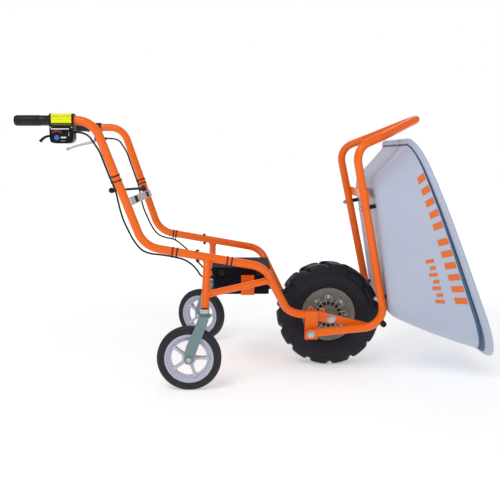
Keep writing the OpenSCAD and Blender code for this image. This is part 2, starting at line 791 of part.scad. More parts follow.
module tub_bow() {
    half = [leg_split, frame_top, bow_shoulder, bow_front];
    points = concat([for (p = half) side(p, -1)], [for (i = [3:-1:0]) half[i]]);
    color(orange) bent_tube(points, [top_r, 60, 40, 40, 60, top_r], tube_d, tube_wall);
}

module tub_strap() {
    // Flat bar across the front of the two legs, under the tub's floor
    p = at_z(frame_corner, frame_top, 600);
    color(orange) difference() {
        in_frame([p[0], 0, p[2]] + bolt_way * (tube_r - 3), [0, 1, 0], leg_tilt, bolt_way)
            translate([-p[1] - 8, -15, 0]) cube([2 * p[1] + 16, 30, 5]);
        for (s = [-1, 1]) rod(side(frame_corner, s), side(frame_top, s), tube_d);
    }
}

stub_at = [170, 172];

module tub_stubs() {
    // Short capped stub across the outside of each lower corner
    color(black) for (s = [-1, 1]) mirrored(s) difference() {
        translate([stub_at[0], 138, stub_at[1]]) rotate([-90, 0, 0]) cylinder(h = 28, r = 10);
        bent_bar([frame_pivot, frame_corner, leg_split], [corner_r], tube_d);
    }
}

// ---- Tub ----
rim_back = [237, 777];
rim_tilt = 67.85;
tub_floor_back = 69;
tub_floor_front = 514;
floor_round = 18;

// Place in the machine of a point given along the rim, across, and down from the rim
function tub_at(s, y, d) = [
    rim_back[0] + s * cos(rim_tilt) - d * sin(rim_tilt), y,
    rim_back[1] - s * sin(rim_tilt) - d * cos(rim_tilt)
];
function corner_arc(cx, cy, r, a0, steps) = [for (k = [0:steps]) let (a = a0 + k * 90 / steps)
    [cx + r * cos(a), cy + r * sin(a)]];
// Loop at a share t of the way down, moved outwards by grow and down by sink
function tub_loop(t, grow, sink) = let (
    s0 = mix(0, tub_floor_back, t) - grow,
    s1 = mix(tub_len, tub_floor_front, t) + grow,
    w0 = mix(tub_rim_w - 12, tub_floor_w, t) + grow,
    w1 = mix(tub_rim_w + 10, tub_floor_w, t) + grow,
    r0 = mix(90, 60, t) + grow,
    r1 = mix(150, 70, t) + grow,
    flat = concat(
        corner_arc(s1 - r1, w1 - r1, r1, 0, 8), corner_arc(s0 + r0, w0 - r0, r0, 90, 6),
        corner_arc(s0 + r0, -w0 + r0, r0, 180, 6), corner_arc(s1 - r1, -w1 + r1, r1, 270, 8))
) [for (p = flat) tub_at(p[0], p[1], sink
    + t * mix(tub_depth_back, tub_depth_front, (p[0] - tub_floor_back) / (tub_floor_front - tub_floor_back)))];
lip = 9;
lip_high = 16;
// Share of the way down, growth and sink of each loop, outside then inside
outside_loops = [
    [1, -floor_round * 2, 0], [1, -floor_round, 0], [1, -floor_round * 0.55, -2], [1, -floor_round * 0.2, -9],
    [0.92, 0, -6], [0.75, 0, 0], [0.5, 0, 0], [0.25, 0, 0],
    [0.06, 0, lip_high * 0.6], [0.02, lip, lip_high * 0.8], [0, lip + 3, lip_high * 0.4],
    [0, lip, 0], [0, 2, -3]
];
inside_loops = [
    [0, -tub_wall, 0], [0.06, -tub_wall, lip_high * 0.6 - 1], [0.25, -tub_wall, 0], [0.5, -tub_wall, 0],
    [0.75, -tub_wall, 0], [0.92, -tub_wall, -6], [1, -floor_round * 0.2 - tub_wall, -9 - tub_wall],
    [1, -floor_round * 0.55 - tub_wall, -2 - tub_wall], [1, -floor_round - tub_wall, -tub_wall],
    [1, -floor_round * 2, -tub_wall]
];

module tub_shell() {
    color(tub_blue) difference() {
        skin([for (r = concat(outside_loops, inside_loops)) tub_loop(r[0], r[1], r[2])]);
        for (s = [-1, 1], z = tub_bolt_z) {
            p = side(at_z(frame_corner, frame_top, z), s);
            rod(p, p + bolt_way * 80, tub_bolt_d + 2 * gap);
        }
    }
}

// How far the floor's outside stands in front of a leg's centre line at height z
function floor_ahead(z) = let (
    p = at_z(frame_corner, frame_top, z),
    a = tub_at(tub_floor_back, 0, tub_depth_back),
    b = tub_at(tub_floor_front, 0, tub_depth_front),
    n = unit([a[2] - b[2], 0, b[0] - a[0]])
) ((a - p) * n) / (bolt_way * n);

module tub_spacers() {
    color(black) for (s = [-1, 1], z = tub_bolt_z) {
        p = side(at_z(frame_corner, frame_top, z), s);
        long = floor_ahead(z);
        difference() {
            rod(p, p + bolt_way * (long - 0.6), 14);
            rod(p - bolt_way, p + bolt_way * 80, tub_bolt_d + 2 * gap);
            rod(side(frame_corner, s), side(frame_top, s), tube_d);
        }
    }
}

module tub_bolts() {
    color(steel) for (s = [-1, 1], z = tub_bolt_z) {
        p = side(at_z(frame_corner, frame_top, z), s);
        long = floor_ahead(z) + tub_wall + 0.8;
        rod(p - bolt_way * (tube_r + 11), p + bolt_way * (long + 1), tub_bolt_d);
        rod(p + bolt_way * long, p + bolt_way * (long + 3), 14);
        aimed(p - bolt_way * (tube_r + 0.6), p - bolt_way * 60) cylinder(h = 7, r = 7.5, $fn = 6);
    }
}

// ---- Drive wheel: hub motor shell that is also the rim, covers, bolts, tyre ----
rim_half = 36;
bead_r = hub_r + 10;
drum_r = hub_r - 9;
valve_d = 8;

module about_axle() {
    translate([0, 0, axle_z]) rotate([90, 0, 0]) children();
}

module hub_shell() {
    // Drum with a rim flange on each edge, and the ring of magnets inside it
    color(zinc) about_axle() rotate_extrude() polygon([
        [drum_r, -rim_half + 8], [hub_r - 6, -rim_half + 8], [hub_r - 6, -rim_half], [bead_r + 4, -rim_half],
        [bead_r + 4, -rim_half + 4], [hub_r + 2, -rim_half + 12], [hub_r + 2, rim_half - 12],
        [bead_r + 4, rim_half - 4], [bead_r + 4, rim_half], [hub_r - 6, rim_half],
        [hub_r - 6, rim_half - 8], [drum_r, rim_half - 8]
    ]);
}

module hub_covers() {
    // Side plate with a raised boss and eight ribs on each face
    ribs = 8;
    color(zinc) for (s = [0, 1]) translate([0, 0, axle_z]) rotate([90 + 180 * s, 0, 0]) difference() {
        union() {
            translate([0, 0, rim_half - 7.9]) cylinder(h = 7, r = hub_r - 6.1);
            translate([0, 0, rim_half - 2]) cylinder(h = 6, r = hub_r - 28);
            translate([0, 0, rim_half]) cylinder(h = 14, r = 32);
            for (i = [0:ribs - 1]) rotate([0, 0, (i + 0.5) * 360 / ribs])
                translate([28, -3, rim_half - 2]) cube([hub_r - 38, 6, 8]);
        }
        translate([0, 0, rim_half - 9]) cylinder(h = 40, d = axle_d + 2 * running);
    }
}

module hub_bolts() {
    count = 8;
    color(steel) for (s = [0, 1], i = [0:count - 1])
        translate([0, 0, axle_z]) rotate([90 + 180 * s, 0, 0]) rotate([0, 0, i * 360 / count])
            translate([hub_r - 18, 0, rim_half - 0.88]) cylinder(h = 5, r = 5, $fn = 6);
}

module drive_tyre() {
    half = tyre_width / 2;
    bead = hub_r + 2.2;
    crown = tyre_r - 14;
    color(black) about_axle() rotate_extrude() polygon([
        [bead, -rim_half + 12.4], [bead_r + 6, -rim_half + 4.2], [bead_r + 6, -rim_half - 4],
        [bead_r + 14, -half + 6], [bead_r + 34, -half], [crown, -half], [tyre_r - 3, -half + 8],
        [tyre_r, -half + 20], [tyre_r, half - 20], [tyre_r - 3, half - 8], [crown, half],
        [bead_r + 34, half], [bead_r + 14, half - 6], [bead_r + 6, rim_half + 4],
        [bead_r + 6, rim_half - 4.2], [bead, rim_half - 12.4],
        [bead + 8, rim_half - 14], [bead_r + 20, half - 18], [crown - 6, half - 10],
        [tyre_r - 18, half - 24], [tyre_r - 18, -half + 24], [crown - 6, -half + 10],
        [bead_r + 20, -half + 18], [bead + 8, -rim_half + 14]
    ]);
}

module tyre_valve() {
    // Bent valve that comes out beside the rim's right flange
    way = unit([-60, -113]);
    low = bead_r - 3;
    color(black) rod([way[0] * low, -rim_half - 2.6, axle_z + way[1] * low],
        [way[0] * (low + 15), -rim_half - 20.6, axle_z + way[1] * (low + 15)], valve_d);
}

// ---- Casters ----
fork_plate_z = 236;
fork_gap = caster_width / 2 + 5;
stem_d = 16;
socket_d = 28;
socket_low = fork_plate_z + 8;
stem_top = leg_foot_z - 4;
caster_axle_d = 12;

module at_stem(s) {
    translate([-caster_back, s * caster_w, 0]) rotate([0, 0, s > 0 ? caster_turn : 0]) children();
}

module at_caster_axle(s) {
    at_stem(s) translate([-caster_trail, 0, caster_r]) rotate([90, 0, 0]) children();
}

module caster_sockets() {
    // Collar under each leg, with the bearing bore that holds the stem
    color(zinc) for (s = [-1, 1]) translate([-caster_back, s * caster_w, 0]) difference() {
        union() {
            translate([0, 0, socket_low]) cylinder(h = leg_foot_z - socket_low, d = socket_d);
            translate([0, 0, leg_foot_z - 6]) cylinder(h = 6, d = socket_d + 2);
        }
        translate([0, 0, socket_low - 1]) cylinder(h = stem_top - socket_low + 2, d = stem_d + 2 * running);
    }
}

module caster_fork(s) {
    blade = 3;
    color(zinc) at_stem(s) difference() {
        union() {
            translate([-20, -fork_gap - blade, fork_plate_z - 4]) cube([38, 2 * (fork_gap + blade), 4]);
            translate([0, 0, fork_plate_z - 1]) cylinder(h = 7, d = socket_d);
            translate([0, 0, fork_plate_z]) cylinder(h = stem_top - fork_plate_z, d = stem_d);
            for (y = [-fork_gap - blade, fork_gap]) translate([0, y + blade, 0]) rotate([90, 0, 0])
                linear_extrude(blade) {
                    polygon([
                        [-16, fork_plate_z], [12, fork_plate_z], [12, fork_plate_z - 12],
                        [-caster_trail + 14, caster_r - 2], [-caster_trail - 14, caster_r - 2],
                        [-caster_trail - 13, caster_r + 24]
                    ]);
                    translate([-caster_trail, caster_r]) circle(r = 15);
                }
        }
        translate([-caster_trail, -60, caster_r]) rotate([-90, 0, 0])
            cylinder(h = 120, d = caster_axle_d + 2 * running);
    }
}

module caster_axle(s) {
    half = fork_gap + 3;
    color(steel) at_caster_axle(s) {
        translate([0, 0, -half - 8]) cylinder(h = 2 * half + 16, d = caster_axle_d - 4);
        translate([0, 0, -half]) cylinder(h = 2 * half, d = caster_axle_d);
        for (z = [-half - 7, half + 0.02]) translate([0, 0, z]) cylinder(h = 6.98, r = 9, $fn = 6);
    }
}

module caster_rim(s) {
    spokes = 5;
    spoke_w = 10;
    rim_r = caster_r - 24;
    w = caster_width;
    color([0.80, 0.81, 0.87]) at_caster_axle(s) difference() {
        union() {
            translate([0, 0, -w / 2 - 3]) cylinder(h = w + 6, r = 16);
            difference() {
                translate([0, 0, -w / 2 + 1]) cylinder(h = w - 2, r = rim_r);
                translate([0, 0, -w / 2]) cylinder(h = w, r = rim_r - 6);
            }
            for (i = [0:spokes - 1]) rotate([0, 0, i * 360 / spokes])
                translate([12, -spoke_w / 2, -w / 2 + 4]) cube([rim_r - 16, spoke_w, w - 8]);
        }
        translate([0, 0, -w]) cylinder(h = 2 * w, d = caster_axle_d + 2 * running);
    }
}

module caster_tyre(s) {
    half = caster_width / 2;
    seat = caster_r - 23.9;
    color(black) at_caster_axle(s) rotate_extrude() polygon([
        [seat, -half + 1], [seat + 5, -half], [caster_r - 6, -half], [caster_r - 1.5, -half + 4],
        [caster_r, -half + 11], [caster_r, half - 11], [caster_r - 1.5, half - 4],
        [caster_r - 6, half], [seat + 5, half], [seat, half - 1]
    ]);
}

side_tube(-1);  // side_tube_right
side_tube(1);  // side_tube_left
caster_leg(-1);  // caster_leg_right
caster_leg(1);  // caster_leg_left
side_brace(-1);  // side_brace_right
side_brace(1);  // side_brace_left
axle_bracket(-1);  // axle_bracket_right
axle_bracket(1);  // axle_bracket_left
handle_crossbar();
rest_pads();
battery_cradle();
battery_case();
battery_lid();
battery_pack();
motor_controller();
charge_socket();
cable_glands();
grip(-1);  // grip_right
grip(1);  // grip_left
control_pod();
pod_sleeve();
control_panel();
power_button();
throttle_lever();
brake_perch();
brake_lever();
latch_bracket();
latch_lever();
latch_knob();
cable_ties();
cable(smooth(control_route));  // control_cable
cable(smooth(brake_route));  // brake_cable
cable(smooth(motor_route));  // motor_cable
axle_shaft();
motor_stator();
axle_nuts();
frame_bolts();
pivot_bolts();
hub_shell();
hub_covers();
hub_bolts();
drive_tyre();
tyre_valve();
caster_sockets();
caster_fork(-1);  // caster_fork_right
caster_axle(-1);  // caster_axle_right
caster_rim(-1);  // caster_rim_right
caster_tyre(-1);  // caster_tyre_right
caster_fork(1);  // caster_fork_left
caster_axle(1);  // caster_axle_left
caster_rim(1);  // caster_rim_left
caster_tyre(1);  // caster_tyre_left
tub_frame_half(-1);  // tub_frame_right
tub_frame_half(1);  // tub_frame_left
tub_bow();
tub_strap();
tub_stubs();
tub_shell();
tub_spacers();
tub_bolts();
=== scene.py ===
"""Power wheelbarrow: the visual model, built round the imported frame.

Each sub-assembly is a class that makes its meshes in metres, in the frame's own axes: +X forwards,
+Y to the machine's left, +Z up. Repeated pieces come from Geometry Nodes trees built here.
"""

import json
import logging
import math
from dataclasses import dataclass, field
from enum import Enum
from typing import Sequence

import bmesh
import bpy
from mathutils import Matrix, Vector


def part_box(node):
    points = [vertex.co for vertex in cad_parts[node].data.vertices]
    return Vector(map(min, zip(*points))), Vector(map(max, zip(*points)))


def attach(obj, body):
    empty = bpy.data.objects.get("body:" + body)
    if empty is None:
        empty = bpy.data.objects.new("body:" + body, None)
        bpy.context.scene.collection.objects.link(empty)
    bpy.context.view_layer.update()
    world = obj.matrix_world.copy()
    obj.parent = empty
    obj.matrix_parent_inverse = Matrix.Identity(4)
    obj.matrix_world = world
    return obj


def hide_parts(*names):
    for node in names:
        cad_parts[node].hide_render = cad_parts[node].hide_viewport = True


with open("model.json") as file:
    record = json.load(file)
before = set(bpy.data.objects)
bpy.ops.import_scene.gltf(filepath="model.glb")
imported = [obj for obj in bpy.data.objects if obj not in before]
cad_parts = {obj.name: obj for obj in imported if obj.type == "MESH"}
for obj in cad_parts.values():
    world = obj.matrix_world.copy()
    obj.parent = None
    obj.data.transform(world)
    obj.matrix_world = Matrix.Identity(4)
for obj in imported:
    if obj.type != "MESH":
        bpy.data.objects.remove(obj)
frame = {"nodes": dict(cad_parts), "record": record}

logging.basicConfig(level=logging.INFO, format="%(message)s")
log = logging.getLogger("barrow")

Outline = list[tuple[float, float]]
Shape = bpy.types.Object
Material = bpy.types.Material
Tree = bpy.types.NodeTree
Node = bpy.types.Node
Socket = bpy.types.NodeSocket
MM = 0.001
EDGE_LEVELS = 3

# The floor's own light: near the machine, the most that is added far away, where that starts, and its rise.
FLOOR_GLOW, FAR_GLOW, GLOW_START, GLOW_RISE = 0.42, 0.35, 1.2, 0.12
FLOOR_HALF = 14
LIGHTS_AIM = (0, 0, 0.4)
CAMERA_PLACE = (-0.313, -2.643, 0.7356)
CAMERA_PITCH, CAMERA_YAW = 82.82, -0.84
CAMERA_LENS, CAMERA_SENSOR = 54.6, 36.0
CAMERA_CLIP = (0.05, 60.0)
NEARLY_ZERO = 1e-6

# The handle's axis and the corners of the left side tube's centre line, in millimetres.
HANDLE_W = 300
HANDLE_Z = 838
SHOULDER, KNEE, HIP = (-756, HANDLE_W, HANDLE_Z), (-616, 245, 446), (-233, 245, 379)

# The tipping frame's lower corner on the left, the bow's corner above it, and the height that splits them.
TIP_CORNER, BOW_CORNER, BOW_SPLIT_Z = (180, 151, 165), (61, 200, 756), 640

# Where both cables run down the left side tube; the right one is its mirror image.
DOWN_THE_TUBE = [(-740, 287, 742), (-729, 283, 711), (-718, 279, 680), (-707, 274, 650), (-697, 270, 622),
                 (-691, 266, 592), (-685, 262, 562), (-676, 258, 530), (-662, 254, 497), (-645, 249, 463),
                 (-622, 243, 434), (-594, 240, 422)]


class Side(Enum):
    """Which side of the machine a mirrored piece is on."""

    RIGHT = -1
    LEFT = 1

    @property
    def word(self) -> str:
        """The side's name, as the frame's nodes end with it."""
        return self.name.lower()


class Layout(Enum):
    """How a Geometry Nodes array lays out its copies."""

    RING = "ring"
    LINE = "line"


# ---------------------------------------------------------------- outlines and meshes


def mix(a: float, b: float, share: float) -> float:
    """Value that is the given share of the way from a to b."""
    return a + (b - a) * share


def rounded(outline: Outline, radius: float, steps: int = 5) -> Outline:
    """Rounds the corners of a closed outline.

    Args:
        outline: Corner points in order.
        radius: Wanted radius, cut down where a side is short.
        steps: Points on each corner, less one.

    Returns:
        The outline with an arc in place of each corner.
    """
    result: Outline = []
    count = len(outline)
    for i in range(count):
        corner = Vector(outline[i])
        before = Vector(outline[i - 1]) - corner
        after = Vector(outline[(i + 1) % count]) - corner
        half_turn = before.angle(after) / 2
        cut = min(radius / math.tan(half_turn), before.length * 0.45, after.length * 0.45)
        first = corner + before.normalized() * cut
        last = corner + after.normalized() * cut
        for k in range(steps + 1):
            share = k / steps
            a = first.lerp(corner, share)
            b = corner.lerp(last, share)
            result.append(tuple(a.lerp(b, share)))
    return result


def mesh_object(name: str, points: Sequence[Sequence[float]], faces: Sequence[Sequence[int]]
                ) -> Shape:
    """Makes a mesh object at the origin, with its faces turned outwards."""
    mesh = bpy.data.meshes.new(name)
    mesh.from_pydata([tuple(p) for p in points], [], [tuple(f) for f in faces])
    work = bmesh.new()
    work.from_mesh(mesh)
    bmesh.ops.remove_doubles(work, verts=work.verts, dist=NEARLY_ZERO)
    bmesh.ops.recalc_face_normals(work, faces=work.faces)
    work.to_mesh(mesh)
    work.free()
    obj = bpy.data.objects.new(name, mesh)
    bpy.context.scene.collection.objects.link(obj)
    return obj


def revolve(name: str, profile: Outline, steps: int = 96) -> Shape:
    """Turns a profile of (radius, along) points, in millimetres, about the Z axis.

    Args:
        name: Name of the new object.
        profile: Points of the profile, in order.
        steps: Stations round the axis.

    Returns:
        The turned object.
    """
    count = len(profile)
    points = []
    for k in range(steps):
        turn = 2 * math.pi * k / steps
        points += [(r * math.cos(turn), r * math.sin(turn), h) for r, h in scaled(profile)]
    faces = []
    for k in range(steps):
        a, b = k * count, (k + 1) % steps * count
        for i in range(count):
            j = (i + 1) % count
            faces.append((a + i, b + i, b + j, a + j))
    return mesh_object(name, points, faces)


def lofted(name: str, loops: Sequence[Sequence[Sequence[float]]], closed: bool = False) -> Shape:
    """Skins a row of loops that have the same number of points.

    Args:
        name: Name of the new object.
        loops: Points of each loop, in metres.
        closed: True to join the last loop to the first, False to cap both ends.

    Returns:
        The skinned object.
    """
    rows, count = len(loops), len(loops[0])
    faces = []
    for k in range(rows if closed else rows - 1):
        a, b = k * count, (k + 1) % rows * count
        faces += [(a + i, a + (i + 1) % count, b + (i + 1) % count, b + i) for i in range(count)]
    if not closed:
        faces += [tuple(range(count)), tuple(range((rows - 1) * count, rows * count))]
    return mesh_object(name, [p for loop in loops for p in loop], faces)


def prism(name: str, outline: Outline, low: float, high: float) -> Shape:
    """Extrudes a closed outline in X and Y from one height to another."""
    return lofted(name, [[(x, y, z) for x, y in outline] for z in (low, high)])


def band(name: str, outer: Outline, inner: Outline, low: float, high: float) -> Shape:
    """Extrudes the space between two outlines that have the same number of points."""
    rings = ((outer, low), (outer, high), (inner, high), (inner, low))
    return lofted(name, [[(x, y, z) for x, y in ring] for ring, z in rings], closed=True)


def block(name: str, low: Sequence[float], high: Sequence[float]) -> Shape:
    """Makes a box between two corners."""
    outline = [(low[0], low[1]), (high[0], low[1]), (high[0], high[1]), (low[0], high[1])]
    return prism(name, outline, low[2], high[2])


def smooth_path(route: Sequence[Vector], parts: int = 4) -> list[Vector]:
    """Puts points between the route's own, on a Catmull-Rom curve through them."""
    result = []
    last = len(route) - 1
    for i in range(last):
        p0, p1, p2, p3 = route[max(i - 1, 0)], route[i], route[i + 1], route[min(i + 2, last)]
        for k in range(parts):
            t = k / parts
            result.append(0.5 * (2 * p1 + (p2 - p0) * t + (2 * p0 - 5 * p1 + 4 * p2 - p3) * t * t
                                 + (3 * p1 - p0 - 3 * p2 + p3) * t ** 3))
    return [*result, route[last]]


def moved(obj: Shape, matrix: Matrix) -> Shape:
    """Moves the mesh itself, so that the object stays at the origin."""
    obj.data.transform(matrix)
    if matrix.determinant() < 0:
        obj.data.flip_normals()
    return obj


def turned_to(direction: Vector, place: Vector, roll: float = 0.0) -> Matrix:
    """Matrix that points a mesh's Z axis along a direction and moves it to a place."""
    return (Matrix.Translation(place) @ direction.to_track_quat("Z", "Y").to_matrix().to_4x4()
            @ Matrix.Rotation(roll, 4, "Z"))


def baked(obj: Shape) -> Shape:
    """Applies every modifier on an object."""
    graph = bpy.context.evaluated_depsgraph_get()
    mesh = bpy.data.meshes.new_from_object(obj.evaluated_get(graph))
    obj.modifiers.clear()
    obj.data = mesh
    mesh.name = obj.name
    return obj


def softened(obj: Shape, width: float, segments: int = EDGE_LEVELS) -> Shape:
    """Rounds an object's sharp edges with a bevel of the given width."""
    bevel = obj.modifiers.new("edges", "BEVEL")
    bevel.width = width
    bevel.segments = segments
    bevel.limit_method = "ANGLE"
    bevel.angle_limit = math.radians(32)
    return baked(obj)


def joined(name: str, parts: Sequence[Shape]) -> Shape:
    """Joins several meshes into one object, keeping each part's material."""
    work = bmesh.new()
    mesh = bpy.data.meshes.new(name)
    for part in parts:
        offset = len(mesh.materials)
        for material in part.data.materials:
            mesh.materials.append(material)
        for polygon in part.data.polygons:
            polygon.material_index += offset
        work.from_mesh(part.data)
        bpy.data.objects.remove(part)
    work.to_mesh(mesh)
    work.free()
    obj = bpy.data.objects.new(name, mesh)
    bpy.context.scene.collection.objects.link(obj)
    return obj


def shaded(obj: Shape, angle: float = 35.0) -> Shape:
    """Shades an object smooth, with sharp edges past an angle in degrees."""
    obj.data.shade_smooth()
    obj.data.set_sharp_from_angle(angle=math.radians(angle))
    return obj


# ---------------------------------------------------------------- Geometry Nodes


def socket_of(tree: Tree, name: str) -> str:
    """Identifier of a tree's named input."""
    return next(i.identifier for i in tree.interface.items_tree if i.name == name and i.in_out == "INPUT")


def group_tree(name: str, kind: str, inputs: Sequence[tuple[str, str]], outputs: Sequence[tuple[str, str]]
               ) -> tuple:
    """Starts a node group.

    Args:
        name: Name of the group.
        kind: "Geometry" or "Shader".
        inputs: Label and socket type of each input.
        outputs: Label and socket type of each output.

    Returns:
        The tree, its input node and its output node.
    """
    tree = bpy.data.node_groups.new(name, f"{kind}NodeTree")
    for way, sockets in (("INPUT", inputs), ("OUTPUT", outputs)):
        for label, socket in sockets:
            tree.interface.new_socket(label, in_out=way, socket_type=f"NodeSocket{socket}")
    return tree, tree.nodes.new("NodeGroupInput"), tree.nodes.new("NodeGroupOutput")


def end_geometry(tree: Tree, shape: Socket, material: Socket,
                 result: Node) -> None:
    """Makes the copies real, gives them their material, and leads them out of the tree."""
    real, finish = tree.nodes.new("GeometryNodeRealizeInstances"), tree.nodes.new("GeometryNodeSetMaterial")
    tree.links.new(shape, real.inputs["Geometry"])
    tree.links.new(real.outputs["Geometry"], finish.inputs["Geometry"])
    tree.links.new(material, finish.inputs["Material"])
    tree.links.new(finish.outputs["Geometry"], result.inputs["Geometry"])


def array_tree(layout: Layout) -> Tree:
    """Builds the tree that repeats a template round a ring or along a line.

    Args:
        layout: Whether the copies stand on a ring about Z or on a line.

    Returns:
        The tree. Its inputs are Template, Count, Radius, Phase, Step and Material.
    """
    tree, given, result = group_tree(f"{layout.value} of copies", "Geometry", (("Template", "Object"),
        ("Count", "Int"), ("Radius", "Float"), ("Phase", "Float"), ("Step", "Vector"),
        ("Material", "Material")), (("Geometry", "Geometry"),))
    add, link = tree.nodes.new, tree.links.new
    template = add("GeometryNodeObjectInfo")
    template.transform_space = "ORIGINAL"
    copies = add("GeometryNodeInstanceOnPoints")
    link(given.outputs["Template"], template.inputs["Object"])
    link(template.outputs["Geometry"], copies.inputs["Instance"])
    turned = add("GeometryNodeTransform")
    if layout is Layout.RING:
        ring = add("GeometryNodeMeshCircle")
        link(given.outputs["Count"], ring.inputs["Vertices"])
        link(given.outputs["Radius"], ring.inputs["Radius"])
        link(ring.outputs["Mesh"], copies.inputs["Points"])
        index = add("GeometryNodeInputIndex")
        spin, phase = add("ShaderNodeCombineXYZ"), add("ShaderNodeCombineXYZ")
        share = math_node(tree, "DIVIDE", index.outputs["Index"], given.outputs["Count"])
        link(math_node(tree, "MULTIPLY", share, 2 * math.pi), spin.inputs["Z"])
        link(spin.outputs[0], copies.inputs["Rotation"])
        link(given.outputs["Phase"], phase.inputs["Z"])
        link(phase.outputs[0], turned.inputs["Rotation"])
    else:
        line = add("GeometryNodeMeshLine")
        line.mode = "OFFSET"
        link(given.outputs["Count"], line.inputs["Count"])
        link(given.outputs["Step"], line.inputs["Offset"])
        link(line.outputs["Mesh"], copies.inputs["Points"])
    link(copies.outputs["Instances"], turned.inputs["Geometry"])
    end_geometry(tree, turned.outputs["Geometry"], given.outputs["Material"], result)
    return tree


def path_tree() -> Tree:
    """Builds the tree that turns a line of edges into a round bar with closed ends."""
    tree, given, result = group_tree(
        "round bar on a path", "Geometry",
        (("Geometry", "Geometry"), ("Radius", "Float"), ("Sides", "Int"), ("Material", "Material")),
        (("Geometry", "Geometry"),))
    add, link = tree.nodes.new, tree.links.new
    line, ring, bar = (add(f"GeometryNode{kind}")
                       for kind in ("MeshToCurve", "CurvePrimitiveCircle", "CurveToMesh"))
    bar.inputs["Fill Caps"].default_value = True
    link(given.outputs["Geometry"], line.inputs["Mesh"])
    link(given.outputs["Sides"], ring.inputs["Resolution"])
    link(given.outputs["Radius"], ring.inputs["Radius"])
    link(line.outputs["Curve"], bar.inputs["Curve"])
    link(ring.outputs["Curve"], bar.inputs["Profile Curve"])
    end_geometry(tree, bar.outputs["Mesh"], given.outputs["Material"], result)
    return tree


class Arrays:
    """Makes plain meshes with the Geometry Nodes trees, and builds each tree once."""

    def __init__(self) -> None:
        """Builds the trees."""
        self.trees = {layout: array_tree(layout) for layout in Layout}
        self.path = path_tree()

    def _run(self, obj: Shape, tree: Tree, values: dict) -> Shape:
        modifier = obj.modifiers.new("nodes", "NODES")
        modifier.node_group = tree
        for name, value in values.items():
            modifier[socket_of(tree, name)] = value
        return baked(obj)

    def repeat(self, name: str, layout: Layout, template: Shape, count: int,
               material: Material, radius: float = 0.0, phase: float = 0.0,
               step: Sequence[float] = (0, 0, 0)) -> Shape:
        """Repeats a template and removes it.

        Args:
            name: Name of the new object.
            layout: Ring about Z, or line from the origin.
            template: Mesh to repeat.
            count: Number of copies.
            material: Material of all the copies.
            radius: Radius of the ring.
            phase: Angle of the first copy on the ring, in radians.
            step: Distance between copies on a line.

        Returns:
            One plain mesh object that holds all the copies.
        """
        holder = bpy.data.objects.new(name, bpy.data.meshes.new(name))
        bpy.context.scene.collection.objects.link(holder)
        values = {"Template": template, "Count": count, "Radius": radius, "Phase": phase,
                  "Step": tuple(step), "Material": material}
        self._run(holder, self.trees[layout], values)
        bpy.data.objects.remove(template)
        return holder

    def bar(self, name: str, route: Sequence[Vector], radius: float, material: Material,
            sides: int = 16) -> Shape:
        """Makes a round bar with closed ends along a route."""
        mesh = bpy.data.meshes.new(name)
        mesh.from_pydata([tuple(p) for p in route], [(i, i + 1) for i in range(len(route) - 1)], [])
        holder = bpy.data.objects.new(name, mesh)
        bpy.context.scene.collection.objects.link(holder)
        return self._run(holder, self.path, {"Radius": radius, "Sides": sides, "Material": material})


# ---------------------------------------------------------------- shader groups and finishes


def feed(tree: Tree, socket: Socket, value: object) -> None:
    """Links a value to an input if it is a socket, and sets the input to it if it is a number."""
    if isinstance(value, (int, float)):
        socket.default_value = value
    else:
        tree.links.new(value, socket)


def math_node(tree: Tree, operation: str, *values: object) -> Socket:
    """Adds a Math node whose inputs are sockets or numbers, and returns its output."""
    node = tree.nodes.new("ShaderNodeMath")
    node.operation = operation
    for i, value in enumerate(values):
        feed(tree, node.inputs[i], value)
    return node.outputs[0]


def set_inputs(node: Node, values: dict) -> None:
    """Sets a node's inputs by label; a colour is given without its alpha."""
    for label, value in values.items():
        node.inputs[label].default_value = (*value, 1.0) if isinstance(value, tuple) else value


def noise_node(tree: Tree, scale: object, detail: float = 3.0) -> Socket:
    """Adds object-space noise of a scale that is a socket or a number, and returns its value."""
    place, noise = tree.nodes.new("ShaderNodeTexCoord"), tree.nodes.new("ShaderNodeTexNoise")
    noise.inputs["Detail"].default_value = detail
    tree.links.new(place.outputs["Object"], noise.inputs["Vector"])
    feed(tree, noise.inputs["Scale"], scale)
    return noise.outputs["Fac"]


def blend_node(tree: Tree, share: object, a: object, b: object) -> Socket:
    """Adds a colour mix and returns its result."""
    node = tree.nodes.new("ShaderNodeMix")
    node.data_type = "RGBA"
    for socket, value in ((node.inputs[0], share), (node.inputs[6], a), (node.inputs[7], b)):
        tree.links.new(value, socket)
    return node.outputs[2]


def grain_group() -> Tree:
    """Fine grain and broad mottling: changes a colour and a roughness, and gives a height for bump."""
    tree, given, result = group_tree(
        "grain", "Shader",
        (("Colour", "Color"), ("Shade", "Color"), ("Mottle", "Float"), ("Fine Scale", "Float"),
         ("Broad Scale", "Float"), ("Roughness", "Float"), ("Spread", "Float")),
        (("Colour", "Color"), ("Roughness", "Float"), ("Height", "Float")))
    fine = noise_node(tree, given.outputs["Fine Scale"], 2.0)
    broad = noise_node(tree, given.outputs["Broad Scale"], 4.0)
    share = math_node(tree, "MULTIPLY", broad, given.outputs["Mottle"])
    tree.links.new(blend_node(tree, share, given.outputs["Colour"], given.outputs["Shade"]),
                   result.inputs["Colour"])
    swing = math_node(tree, "MULTIPLY", math_node(tree, "SUBTRACT", broad, 0.5), given.outputs["Spread"])
    tree.links.new(math_node(tree, "ADD", given.outputs["Roughness"], swing), result.inputs["Roughness"])
    tree.links.new(fine, result.inputs["Height"])
    return tree


